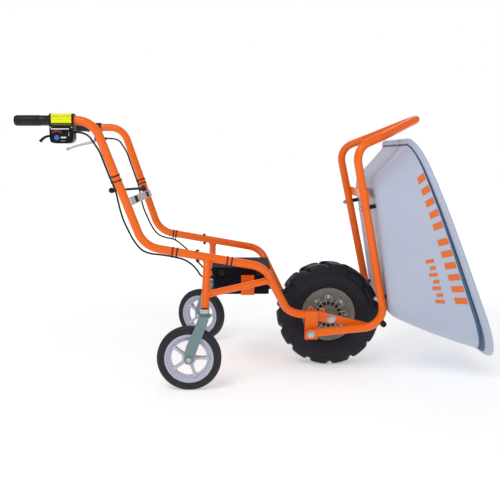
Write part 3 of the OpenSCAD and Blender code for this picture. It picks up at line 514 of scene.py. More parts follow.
def edge_group() -> Tree:
    """Edge wear: a mask that is high along sharp edges, broken up by noise, and the softened normal."""
    tree, given, result = group_tree(
        "edge wear", "Shader", (("Colour", "Color"), ("Worn", "Color"), ("Amount", "Float")),
        (("Colour", "Color"), ("Mask", "Float"), ("Normal", "Vector")))
    soft, flat = tree.nodes.new("ShaderNodeBevel"), tree.nodes.new("ShaderNodeNewGeometry")
    soft.samples = 4
    soft.inputs["Radius"].default_value = 1.2 * MM
    dot = tree.nodes.new("ShaderNodeVectorMath")
    dot.operation = "DOT_PRODUCT"
    tree.links.new(soft.outputs[0], dot.inputs[0])
    tree.links.new(flat.outputs["Normal"], dot.inputs[1])
    bend = math_node(tree, "SUBTRACT", 1.0, dot.outputs["Value"])
    broken = math_node(tree, "GREATER_THAN", noise_node(tree, 90.0, 5.0), 0.46)
    mask = math_node(tree, "MULTIPLY", math_node(tree, "MULTIPLY", bend, 6.0), broken)
    mask = math_node(tree, "MINIMUM", math_node(tree, "MULTIPLY", mask, given.outputs["Amount"]), 1.0)
    tree.links.new(blend_node(tree, mask, given.outputs["Colour"], given.outputs["Worn"]),
                   result.inputs["Colour"])
    tree.links.new(mask, result.inputs["Mask"])
    tree.links.new(soft.outputs[0], result.inputs["Normal"])
    return tree


def dust_group() -> Tree:
    """Dust that thins out upwards from the ground."""
    tree, given, result = group_tree(
        "dust", "Shader", (("Colour", "Color"), ("Dust", "Color"), ("Top", "Float"), ("Amount", "Float")),
        (("Colour", "Color"), ("Mask", "Float")))
    place, split = tree.nodes.new("ShaderNodeTexCoord"), tree.nodes.new("ShaderNodeSeparateXYZ")
    tree.links.new(place.outputs["Object"], split.inputs[0])
    height = math_node(tree, "DIVIDE", split.outputs["Z"], given.outputs["Top"])
    low = math_node(tree, "SUBTRACT", 1.0, height)
    low = math_node(tree, "MAXIMUM", low, 0.0)
    patchy = math_node(tree, "MULTIPLY", math_node(tree, "MULTIPLY", low, noise_node(tree, 38.0, 5.0)),
                       given.outputs["Amount"])
    tree.links.new(blend_node(tree, patchy, given.outputs["Colour"], given.outputs["Dust"]),
                   result.inputs["Colour"])
    tree.links.new(patchy, result.inputs["Mask"])
    return tree


@dataclass(frozen=True)
class Finish:
    """One material: its colours, its gloss, its grain, its wear and its dust."""

    name: str
    colour: tuple[float, float, float]
    shade: tuple[float, float, float]
    roughness: float
    metallic: float = 0.0
    coat: float = 0.0
    mottle: float = 0.5
    spread: float = 0.12
    fine_scale: float = 900.0
    broad_scale: float = 14.0
    bump: float = 0.05
    depth: float = 0.2 * MM
    worn: tuple[float, float, float] = (0.6, 0.6, 0.6)
    wear: float = 0.0
    dust: float = 0.0
    glow: float = 0.0
    specular: float = 0.5

    def build(self, groups: dict[str, Tree]) -> Material:
        """Builds the node material.

        Args:
            groups: The shared shader groups by name.

        Returns:
            The finished material.
        """
        material = bpy.data.materials.new(self.name)
        material.use_nodes = True
        tree = material.node_tree
        shader = tree.nodes["Principled BSDF"]
        link = tree.links.new

        def group(kind: str, values: dict) -> Node:
            node = tree.nodes.new("ShaderNodeGroup")
            node.node_tree = groups[kind]
            set_inputs(node, values)
            return node

        grain = group("grain", {"Colour": self.colour, "Shade": self.shade, "Mottle": self.mottle,
                                "Fine Scale": self.fine_scale, "Broad Scale": self.broad_scale,
                                "Roughness": self.roughness, "Spread": self.spread})
        edge = group("edge", {"Worn": self.worn, "Amount": self.wear})
        link(grain.outputs["Colour"], edge.inputs["Colour"])
        colour = edge.outputs["Colour"]
        if self.dust:
            dust = group("dust", {"Dust": (0.42, 0.38, 0.33), "Top": 0.30, "Amount": self.dust})
            link(colour, dust.inputs["Colour"])
            colour = dust.outputs["Colour"]
        link(colour, shader.inputs["Base Color"])
        link(grain.outputs["Roughness"], shader.inputs["Roughness"])
        relief = tree.nodes.new("ShaderNodeBump")
        set_inputs(relief, {"Strength": self.bump, "Distance": self.depth})
        link(grain.outputs["Height"], relief.inputs["Height"])
        link(edge.outputs["Normal"], relief.inputs["Normal"])
        link(relief.outputs["Normal"], shader.inputs["Normal"])
        set_inputs(shader, {"Metallic": self.metallic, "Coat Weight": self.coat, "Coat Roughness": 0.12,
                            "Specular IOR Level": self.specular})
        if self.glow:
            set_inputs(shader, {"Emission Color": self.colour, "Emission Strength": self.glow})
        material.diffuse_color = (*self.colour, 1.0)
        return material


FINISHES = {
    "orange_frame": Finish("orange powder coat", (0.94, 0.150, 0.003), (0.84, 0.115, 0.002), 0.32,
        coat=0.12, mottle=0.45, fine_scale=520, bump=0.16, depth=0.25 * MM, worn=(1.0, 0.30, 0.06),
        wear=0.35, specular=0.3),
    "pale_bar": Finish("pale bar paint", (0.66, 0.58, 0.60), (0.54, 0.47, 0.50), 0.38, wear=0.4,
        worn=(0.85, 0.82, 0.82), specular=0.3),
    "black_rubber": Finish("black rubber", (0.008, 0.008, 0.009), (0.018, 0.018, 0.018), 0.72, bump=0.3,
        fine_scale=700, specular=0.2),
    "black_case": Finish("black moulded case", (0.004, 0.004, 0.007), (0.010, 0.011, 0.017), 0.62,
        bump=0.45, fine_scale=1500, worn=(0.03, 0.03, 0.04), wear=0.5, specular=0.08),
    "cell_wrap": Finish("blue cell wrap", (0.03, 0.06, 0.30), (0.02, 0.04, 0.2), 0.3),
    "bare_aluminium": Finish("cast aluminium", (0.50, 0.51, 0.52), (0.36, 0.37, 0.38), 0.34, metallic=0.75,
        bump=0.2, fine_scale=800),
    "zinc_steel": Finish("zinc plated steel", (0.52, 0.53, 0.53), (0.36, 0.38, 0.36), 0.30, metallic=0.92,
        broad_scale=60, bump=0.12),
    "black_plastic": Finish("black plastic", (0.006, 0.006, 0.007), (0.014, 0.014, 0.017), 0.34, bump=0.25,
        fine_scale=1300, worn=(0.04, 0.04, 0.04), wear=0.5, specular=0.22),
    "grip_rubber": Finish("grip rubber", (0.004, 0.004, 0.007), (0.010, 0.010, 0.015), 0.36, bump=0.3,
        fine_scale=900, specular=0.34),
    "yellow_cover": Finish("yellow cover", (0.86, 0.86, 0.004), (0.76, 0.76, 0.003), 0.34, coat=0.1,
        mottle=0.3, bump=0.08, specular=0.25),
    # painted shade: a dark olive band for the yellow cover's lower edge, which faces down and falls into
    # shade
    "cover_hem": Finish("olive hem", (0.070, 0.068, 0.006), (0.10, 0.098, 0.008), 0.40, mottle=0.4,
        specular=0.2),
    "panel_gloss": Finish("gloss panel", (0.005, 0.005, 0.008), (0.010, 0.010, 0.015), 0.14, coat=0.1,
        mottle=0.2, bump=0.02, specular=0.25),
    "blue_button": Finish("blue button", (0.045, 0.16, 0.50), (0.03, 0.10, 0.36), 0.28, coat=0.1,
        specular=0.3),
    "black_steel": Finish("black steel", (0.010, 0.010, 0.011), (0.02, 0.02, 0.022), 0.36, metallic=0.1,
        worn=(0.2, 0.2, 0.2), wear=0.5, specular=0.3),
    "cable_sheath": Finish("cable sheath", (0.006, 0.006, 0.007), (0.013, 0.013, 0.015), 0.46, bump=0.15,
        specular=0.25),
    "copper_windings": Finish("copper windings", (0.55, 0.20, 0.07), (0.38, 0.13, 0.05), 0.3, metallic=0.9),
    "cast_hub": Finish("cast hub", (0.235, 0.230, 0.190), (0.105, 0.105, 0.090), 0.48, metallic=0.35,
        mottle=0.9, broad_scale=34, bump=0.6, fine_scale=420, depth=0.5 * MM, worn=(0.62, 0.60, 0.55),
        wear=1.0),
    # painted shade: near-black colour for the ring at the bottom of the hub's recess, where shade falls
    "hub_painted_shade": Finish("hub recess", (0.012, 0.012, 0.014), (0.05, 0.048, 0.042), 0.5, metallic=0.2,
        mottle=0.8, broad_scale=60, bump=0.4, specular=0.2),
    "drive_tyre": Finish("drive tyre rubber", (0.0045, 0.005, 0.010), (0.013, 0.014, 0.024), 0.46,
        mottle=0.8, bump=0.4, fine_scale=420, depth=0.4 * MM, dust=0.03, specular=0.26),
    "fork_zinc": Finish("fork zinc", (0.20, 0.285, 0.31), (0.12, 0.18, 0.20), 0.36, metallic=0.55,
        broad_scale=40, bump=0.15, worn=(0.62, 0.68, 0.70), wear=0.6),
    "caster_rim": Finish("caster rim grey", (0.56, 0.57, 0.68), (0.45, 0.47, 0.58), 0.38, bump=0.15,
        coat=0.1, specular=0.3),
    "caster_tyre": Finish("caster tyre rubber", (0.010, 0.011, 0.014), (0.024, 0.026, 0.031), 0.44,
        dust=0.05, mottle=0.7, bump=0.3, fine_scale=520, specular=0.28),
    "tub_plastic": Finish("tub polyethylene", (0.49, 0.535, 0.655), (0.43, 0.475, 0.60), 0.44, mottle=0.55,
        broad_scale=5, bump=0.22, fine_scale=650, depth=0.3 * MM, specular=0.3),
    # painted shade: dark blue for the line under the tub's rolled rim, where the rim casts its shadow
    "tub_painted_rim_shade": Finish("tub rim shade", (0.075, 0.130, 0.235), (0.055, 0.10, 0.19), 0.5, mottle=0.4,
        specular=0.2),
    "tub_decal": Finish("orange decal", (0.80, 0.17, 0.03), (0.72, 0.14, 0.02), 0.40, mottle=0.3,
        specular=0.3),
    "white_mark": Finish("white print", (0.80, 0.80, 0.80), (0.7, 0.7, 0.7), 0.4, mottle=0.2),
    "red_mark": Finish("red lamp strip", (0.45, 0.03, 0.03), (0.3, 0.02, 0.02), 0.25, glow=0.12),
}


class Paint:
    """Builds each finish once and dresses pieces with it."""

    def __init__(self) -> None:
        """Builds the shared shader groups."""
        self.groups = {"grain": grain_group(), "edge": edge_group(), "dust": dust_group()}
        self.made: dict[str, Material] = {}

    def __getitem__(self, key: str) -> Material:
        """Material of a finish, by the finish's key."""
        if key not in self.made:
            self.made[key] = FINISHES[key].build(self.groups)
        return self.made[key]

    def dress(self, obj: Shape, key: str) -> Shape:
        """Gives the whole object one material."""
        obj.data.materials.clear()
        obj.data.materials.append(self[key])
        return obj


@dataclass
class Assembly:
    """What every sub-assembly shares: the paint, the arrays, and the way a piece is handed in."""

    paint: Paint
    arrays: Arrays

    def hand_in(self, obj: Shape, body: str, slot: str, *nodes: str, angle: float = 35.0) -> None:
        """Shades a piece and gives it to the frame.

        Args:
            obj: The finished piece.
            body: Body that it moves with.
            slot: The record's material slot of its finish; not used.
            nodes: Frame nodes that it stands for.
            angle: Angle in degrees past which an edge is sharp.
        """
        shaded(obj, angle)
        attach(obj, body)
        if nodes:
            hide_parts(*nodes)
        log.info("%s: %d faces on %s", obj.name, len(obj.data.polygons), body)


# ---------------------------------------------------------------- sub-assemblies


def at(x: float, y: float, z: float) -> Vector:
    """Point in metres from millimetres."""
    return Vector((x, y, z)) * MM


def mirrored(side: Side, *points: tuple[float, float, float]) -> list[Vector]:
    """Points of a side, in metres, from the left side's in millimetres."""
    return [at(x, y * side.value, z) for x, y, z in points]


def station(a: Vector, b: Vector, axis: int, value: float) -> Vector:
    """Point of the line through a and b that has the given value, in millimetres, on an axis."""
    return a.lerp(b, (value * MM - a[axis]) / (b[axis] - a[axis]))


def bent(points: Sequence[Vector], radii: Sequence[float], steps: int = 12) -> list[Vector]:
    """Centre line of a bent bar.

    Args:
        points: Ends and corners of the line.
        radii: Radius of each corner in millimetres.
        steps: Pieces of each arc.

    Returns:
        Points along the straights and the arcs.
    """
    route = [points[0]]
    for i, radius in enumerate(radii, 1):
        u = (points[i] - points[i - 1]).normalized()
        v = (points[i + 1] - points[i]).normalized()
        turn = u.angle(v)
        r = radius * MM
        centre = points[i] + (v - u).normalized() * (r / math.cos(turn / 2))
        x = (points[i] - u * (r * math.tan(turn / 2)) - centre).normalized()
        for k in range(steps + 1):
            a = turn * k / steps
            route.append(centre + (x * math.cos(a) + u * math.sin(a)) * r)
    return [*route, points[-1]]


def on_axle(centre: Vector, turn: float = 0.0) -> Matrix:
    """Matrix that puts a piece turned about Z on a wheel's axle, with its +Z to the machine's right."""
    return Matrix.Translation(centre) @ Matrix.Rotation(turn, 4, "Z") @ Matrix.Rotation(math.pi / 2, 4, "X")


def scaled(profile: Outline) -> Outline:
    """Profile in metres from millimetres."""
    return [(a * MM, b * MM) for a, b in profile]


def both_edges(half: Outline) -> Outline:
    """Closed profile from its upper half of (radius, along), from the inside to the middle plane."""
    return [*half, *[(r, -h) for r, h in reversed(half) if h > 1e-9]]


def holed_plate(name: str, outline: Outline, hole: tuple[float, float, float], low: float, high: float
                ) -> Shape:
    """Extrudes an outline with one round hole.

    Args:
        name: Name of the new object.
        outline: Outer corners, all in sight of the hole's centre.
        hole: The hole's centre and radius.
        low: Lower height.
        high: Upper height.

    Returns:
        The plate.
    """
    cx, cy, r = hole
    turns = [math.atan2(y - cy, x - cx) for x, y in outline]
    inner = [(cx + r * math.cos(a), cy + r * math.sin(a)) for a in turns]
    return band(name, outline, inner, low, high)


def tapered_bar(name: str, route: Sequence[Vector], radii: Sequence[float], flat: float = 1.0, sides: int = 20
                ) -> Shape:
    """Makes a bar of changing thickness along a route in a plane of constant Y, with rounded ends.

    Args:
        name: Name of the new object.
        route: Points along the bar.
        radii: Radius at each point.
        flat: Thickness along Y, as a share of the radius.
        sides: Points round the bar.

    Returns:
        The bar.
    """
    loops = []
    across = Vector((0, 1, 0))
    last = len(route) - 1
    turns = [2 * math.pi * k / sides for k in range(sides)]
    for i, (p, r) in enumerate(zip(route, radii)):
        way = (route[min(i + 1, last)] - route[max(i - 1, 0)]).normalized()
        up = way.cross(across).normalized()
        loops.append([p + up * (r * math.cos(a)) + across * (r * flat * math.sin(a)) for a in turns])
    return lofted(name, loops)


def rounded_ends(route: list[Vector], radii: list[float], steps: int = 6) -> tuple[list[Vector], list[float]]:
    """Adds points that close each end of a tapered bar with a dome."""
    def cap(p: Vector, way: Vector, r: float) -> tuple[list[Vector], list[float]]:
        turns = [math.pi / 2 * (k + 1) / (steps + 0.3) for k in range(steps)]
        return [p + way * (r * math.sin(a)) for a in turns], [r * math.cos(a) for a in turns]
    start, thin = cap(route[0], (route[0] - route[1]).normalized(), radii[0])
    end, fine = cap(route[-1], (route[-1] - route[-2]).normalized(), radii[-1])
    return [*reversed(start), *route, *end], [*reversed(thin), *radii, *fine]


@dataclass
class Carried(Assembly):
    """The frame's own nodes that stay as they are and only get a better material."""

    def build(self) -> None:
        """Dresses every node by its slot in the record."""
        for part in frame["record"]["subparts"]:
            for slot in frame["nodes"][part["node"]].material_slots:
                slot.material = self.paint[part["material_slot"]]


@dataclass
class FrameTubes(Assembly):
    """Bent tubes of the chassis and of the tipping frame."""

    tube: float = 13.5 * MM
    leg: float = 12.5 * MM
    brace: float = 11.0 * MM
    sides: int = 36

    def tube_piece(self, name: str, route: Sequence[Vector], radius: float, body: str, node: str) -> None:
        """Makes one painted tube and hands it in for its node."""
        piece = self.arrays.bar(name, route, radius, self.paint["orange_frame"], self.sides)
        self.hand_in(piece, body, "orange_frame", node, angle=50)

    def build(self) -> None:
        """Builds both sides and the bow."""
        for side in Side:
            word = side.word
            line = mirrored(side, (-990, HANDLE_W, HANDLE_Z), SHOULDER, KNEE, HIP, (-147, 120, 206),
                            (-90, 120, 196))
            knee, hip, foot = line[2:5]
            self.tube_piece(f"handle_tube_{word}", bent(line, (70, 85, 70, 60)), self.tube, "chassis",
                            f"side_tube_{word}")
            top, low = station(knee, hip, 0, -413), *mirrored(side, (-420, 316, 258))
            self.tube_piece(f"leg_tube_{word}", [top, low], self.leg, "chassis", f"caster_leg_{word}")
            back, front = station(top, low, 2, 299), station(hip, foot, 2, 331)
            self.tube_piece(f"brace_tube_{word}", [back, front], self.brace, "chassis", f"side_brace_{word}")
            self.welds(f"weld_beads_{word}", [(top, low, self.leg), (front, back, self.brace),
                                              (back, front, self.brace)])
            pivot, corner, shoulder = mirrored(side, (-73, 150, 139), TIP_CORNER, BOW_CORNER)
            split = station(corner, shoulder, 2, BOW_SPLIT_Z)
            arm = self.arrays.bar(f"tip_tube_{word}", bent([pivot, corner, split], (65,)), self.tube,
                                  self.paint["orange_frame"], self.sides)
            boss = revolve("boss", [(6.05, -13.5), (14, -13.5), (15, -12.5), (15, 12.5), (14, 13.5),
                                           (6.05, 13.5)], 48)
            moved(self.paint.dress(boss, "orange_frame"), on_axle(pivot))
            self.hand_in(joined(f"tip_tube_{word}_with_boss", [arm, boss]), "tub", "orange_frame",
                         f"tub_frame_{word}", angle=50)
        half = [(150, 166, 792), (292, 36, 854)]
        top = at(*BOW_CORNER)
        left = [station(at(*TIP_CORNER), top, 2, BOW_SPLIT_Z), top, *[at(*p) for p in half]]
        line = [Vector((p.x, -p.y, p.z)) for p in left] + list(reversed(left))
        self.tube_piece("tip_bow_tube", bent(line, (58, 60, 40, 40, 60, 58)), self.tube, "tub", "tub_bow")

    def welds(self, name: str, joints: Sequence[tuple[Vector, Vector, float]]) -> None:
        """Lays a bead of small overlapping drops where one tube meets another.

        Args:
            name: Name of the piece.
            joints: For each joint, a point of the joined tube's end on the other tube's centre line, a
                point further along it, and its radius.
        """
        rings = []
        for start, end, radius in joints:
            drop = revolve("drop", [(0.1, -1.7), (1.6, -1.2), (2.3, 0), (1.6, 1.2), (0.1, 1.7)], 8)
            ring = self.arrays.repeat("ring", Layout.RING, moved(drop, Matrix.Rotation(0.5, 4, "Y")), 40,
                                      self.paint["orange_frame"], radius=radius + 0.4 * MM)
            way = (end - start).normalized()
            rings.append(moved(ring, turned_to(way, start + way * (self.tube + 1.6 * MM))))
        self.hand_in(joined(name, rings), "chassis", "orange_frame", angle=80)


@dataclass
class DriveWheel(Assembly):
    """Drive wheel: carcass, tread lugs, and the two faces of the hub motor."""

    lugs: int = 14
    lug_wide: float = 0.345
    lug_narrow: float = 0.25
    lug_skew: float = 0.16
    half_width: float = 50
    lug_crown: float = 176
    ribs: int = 16
    bolts: int = 8
    body: str = "drive_wheel"

    def build(self) -> None:
        """Builds the tyre, then each face of the hub."""
        low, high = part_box("drive_tyre")
        self.centre = (low + high) / 2
        rim_low, rim_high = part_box("hub_shell")
        self.rim = (rim_high.z - rim_low.z) / 2 / MM
        self.tyre()
        self.treads()
        for side in Side:
            self.face(side)

    def placed(self, obj: Shape, side: Side = Side.RIGHT) -> Shape:
        """Puts a piece on the axle, facing the given side."""
        flip = Matrix.Rotation(math.pi if side is Side.LEFT else 0.0, 4, "X")
        return moved(obj, on_axle(self.centre) @ flip)

    def tyre(self) -> None:
        """Carcass with a bead, ridges round the sidewall, and the bed of the tread."""
        b = self.rim
        half = [(b - 11, 21), (b - 9, 25), (b + 1.6, 32), (b + 1.8, 37), (b + 3, 39.6), (b + 6, 41.4),
            (b + 9, 42.2), (b + 10, 43.6), (b + 12.5, 43.8), (b + 13.5, 43), (b + 20, 45.6), (b + 28, 47.6),
            (b + 37, 48.7), (b + 44, 49), (b + 46, 49.8), (b + 49, 49.8), (b + 51, 48.8), (156, 48.6),
            (161, 47.4), (166, 44), (169, 38), (170.4, 26), (170.8, 12), (170.8, 3)]
        carcass = self.paint.dress(revolve("drive_tyre_carcass", both_edges(half), 144), "drive_tyre")
        self.hand_in(self.placed(carcass), self.body, "drive_tyre", "drive_tyre", angle=30)

    def treads(self) -> None:
        """Chunky lugs, alternating from one shoulder to the other."""
        section = [(148, 46.5), (151, 49.6), (163, 49.9), (169, 48.6), (174, 45.2), (177.6, 40), (179.3, 32),
                   (179.8, 20), (179.8, 4), (168, 4), (165, 30), (150, 43)]
        steps = 6
        for side, phase in ((Side.RIGHT, 0.0), (Side.LEFT, 0.5)):
            loops = []
            for k in range(steps + 1):
                loop = []
                for r, h in section:
                    wide = mix(self.lug_narrow, self.lug_wide, h / self.half_width)
                    wide *= 0.90 if r > self.lug_crown else 1.0
                    a = (k / steps - 0.5) * wide + self.lug_skew * (1 - h / self.half_width)
                    loop.append((r * MM * math.cos(a), r * MM * math.sin(a), h * MM))
                loops.append(loop)
            lug = softened(lofted("lug", loops), 1.6 * MM, 2)
            name = f"drive_tyre_lugs_{side.word}"
            ring = self.arrays.repeat(name, Layout.RING, lug, self.lugs, self.paint["drive_tyre"],
                                      phase=phase * 2 * math.pi / self.lugs)
            self.hand_in(self.placed(ring, side), self.body, "drive_tyre", angle=40)

    def face(self, side: Side) -> None:
        """Cast face of the hub: recessed floor, raised rings, a near-black ring of painted shade in the
        recess by the boss, cooling ribs, bearing boss and bolts.
        """
        inner = self.rim - 20.1
        floor = [(8.1, 28.4), (inner - 0.2, 28.4), (inner - 0.2, 33.0), (inner - 2.0, 34.8),
            (inner - 6.5, 34.8), (inner - 8.5, 32.2), (51, 31.4), (49.5, 36.6), (45.5, 37.4), (43.8, 33.6),
            (35.0, 33.4), (33.0, 45), (31.2, 48.8), (27.0, 49.6), (21, 49.9), (19.8, 47.8), (12.5, 47.8),
            (11.5, 49.4), (8.1, 49.4)]
        plate = self.paint.dress(revolve(f"hub_face_{side.word}", floor, 96), "cast_hub")
        self.hand_in(self.placed(plate, side), self.body, "cast_hub", "hub_covers", angle=28)
        lip = revolve(f"hub_lip_{side.word}", [
            (self.rim - 8, 35.6), (self.rim - 7.4, 36.6), (self.rim - 2.0, 36.9), (self.rim - 1.2, 36.2),
            (self.rim - 0.8, 35.6)], 96)
        self.hand_in(self.placed(self.paint.dress(lip, "cast_hub"), side), self.body, "cast_hub", angle=28)
        # Near-black ring of painted shade at the bottom of the recess round the boss.
        shade_ring = revolve(f"hub_recess_{side.word}", [
            (35.2, 33.7), (43.6, 33.8), (43.9, 33.9), (43.9, 33.0), (35.2, 33.0)], 96)
        self.hand_in(self.placed(self.paint.dress(shade_ring, "hub_painted_shade"), side), self.body, "cast_hub", angle=28)
        rib = softened(block("rib", at(34.2, -1.5, 31), at(inner - 7, 1.5, 37.8)), 0.7 * MM, 2)
        ribs = self.arrays.repeat(f"hub_ribs_{side.word}", Layout.RING, rib, self.ribs,
            self.paint["bare_aluminium"], phase=math.pi / self.ribs)
        self.hand_in(self.placed(ribs, side), self.body, "cast_hub", angle=40)
        head = revolve("head", [(0.05, 40.0), (3.4, 40.0), (4.4, 38.6), (4.4, 35.6), (7.4, 35.5), (7.6, 34),
                                       (7.6, 33), (0.05, 33)], 6)
        bolts = self.arrays.repeat(f"hub_face_bolts_{side.word}", Layout.RING,
                                   moved(head, Matrix.Translation(at(self.rim - 32, 0, 0))), self.bolts,
                                   self.paint["zinc_steel"])
        self.hand_in(self.placed(bolts, side), self.body, "zinc_steel", "hub_bolts", angle=30)


@dataclass
class Caster(Assembly):
    """Caster wheel: ribbed tyre and five-spoke rim."""

    side: Side = Side.RIGHT
    spokes: int = 5
    turn: float = -28.0

    def placed(self, obj: Shape) -> Shape:
        """Puts a piece on the caster's axle, which the left caster's swivel has turned."""
        turn = math.radians(self.turn) if self.side is Side.LEFT else 0.0
        return moved(obj, on_axle(self.centre, turn))

    def build(self) -> None:
        """Builds the tyre, the rim and the spokes."""
        word = self.side.word
        body = f"caster_wheel_{word}"
        low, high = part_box(f"caster_tyre_{word}")
        self.centre = (low + high) / 2
        tyre = [(77.8, 14.6), (79, 15.6), (82, 16), (84.6, 16), (85.4, 15.2), (87, 15.2), (87.8, 15.9),
            (93, 15.8), (97, 14.9), (99.6, 12.8), (100.9, 10), (101.4, 8.6), (100.2, 8.0), (100.2, 6.6),
            (101.5, 6.0), (101.5, 2.0), (100.3, 1.4)]
        piece = self.paint.dress(revolve(f"caster_tread_{word}", both_edges(tyre), 120), "caster_tyre")
        self.hand_in(self.placed(piece), body, "caster_tyre", f"caster_tyre_{word}", angle=32)
        rim = [(63.5, 0.1), (63.5, 5.5), (65, 7.5), (68.6, 8.8), (70, 11.6), (71.2, 14.6), (72.6, 15.9),
            (75.6, 16.1), (76.8, 15.2), (77.6, 13.5), (77.6, 0.1)]
        ring = self.paint.dress(revolve("ring", both_edges(rim), 96), "caster_rim")
        groove = self.paint.dress(revolve("groove", both_edges([(56.5, 0.1), (56.5, 6.5), (58, 8.2),
            (60.5, 8.2), (61.6, 6.2), (64.2, 5.0), (64.2, 0.1)]), 96), "caster_rim")
        hub = self.paint.dress(revolve("hub", both_edges([(6.1, 0.1), (6.1, 18.8), (9, 18.9), (9.6, 17.8),
            (13.6, 17.8), (15.6, 16), (16.4, 10), (19, 8), (22, 7), (22, 0.1)]), 64), "caster_rim")
        rib = prism("rib", scaled([(14, -7.4), (24, -4.6), (40, -3.9), (54, -4.8), (62, -9.5), (63.5, -6),
            (63.5, 6), (62, 9.5), (54, 4.8), (40, 3.9), (24, 4.6), (14, 7.4)]), -10.5 * MM, 10.5 * MM)
        ribs = self.arrays.repeat("ribs", Layout.RING, softened(rib, 1.6 * MM), self.spokes,
                                  self.paint["caster_rim"])
        self.hand_in(self.placed(joined(f"caster_spoked_rim_{word}", [ring, groove, hub, ribs])), body,
                     "caster_rim", f"caster_rim_{word}", angle=34)


class RightCaster(Caster):
    """Caster on the machine's right."""


@dataclass
class LeftCaster(Caster):
    """Caster on the machine's left, whose fork has swivelled a little."""

    side: Side = Side.LEFT


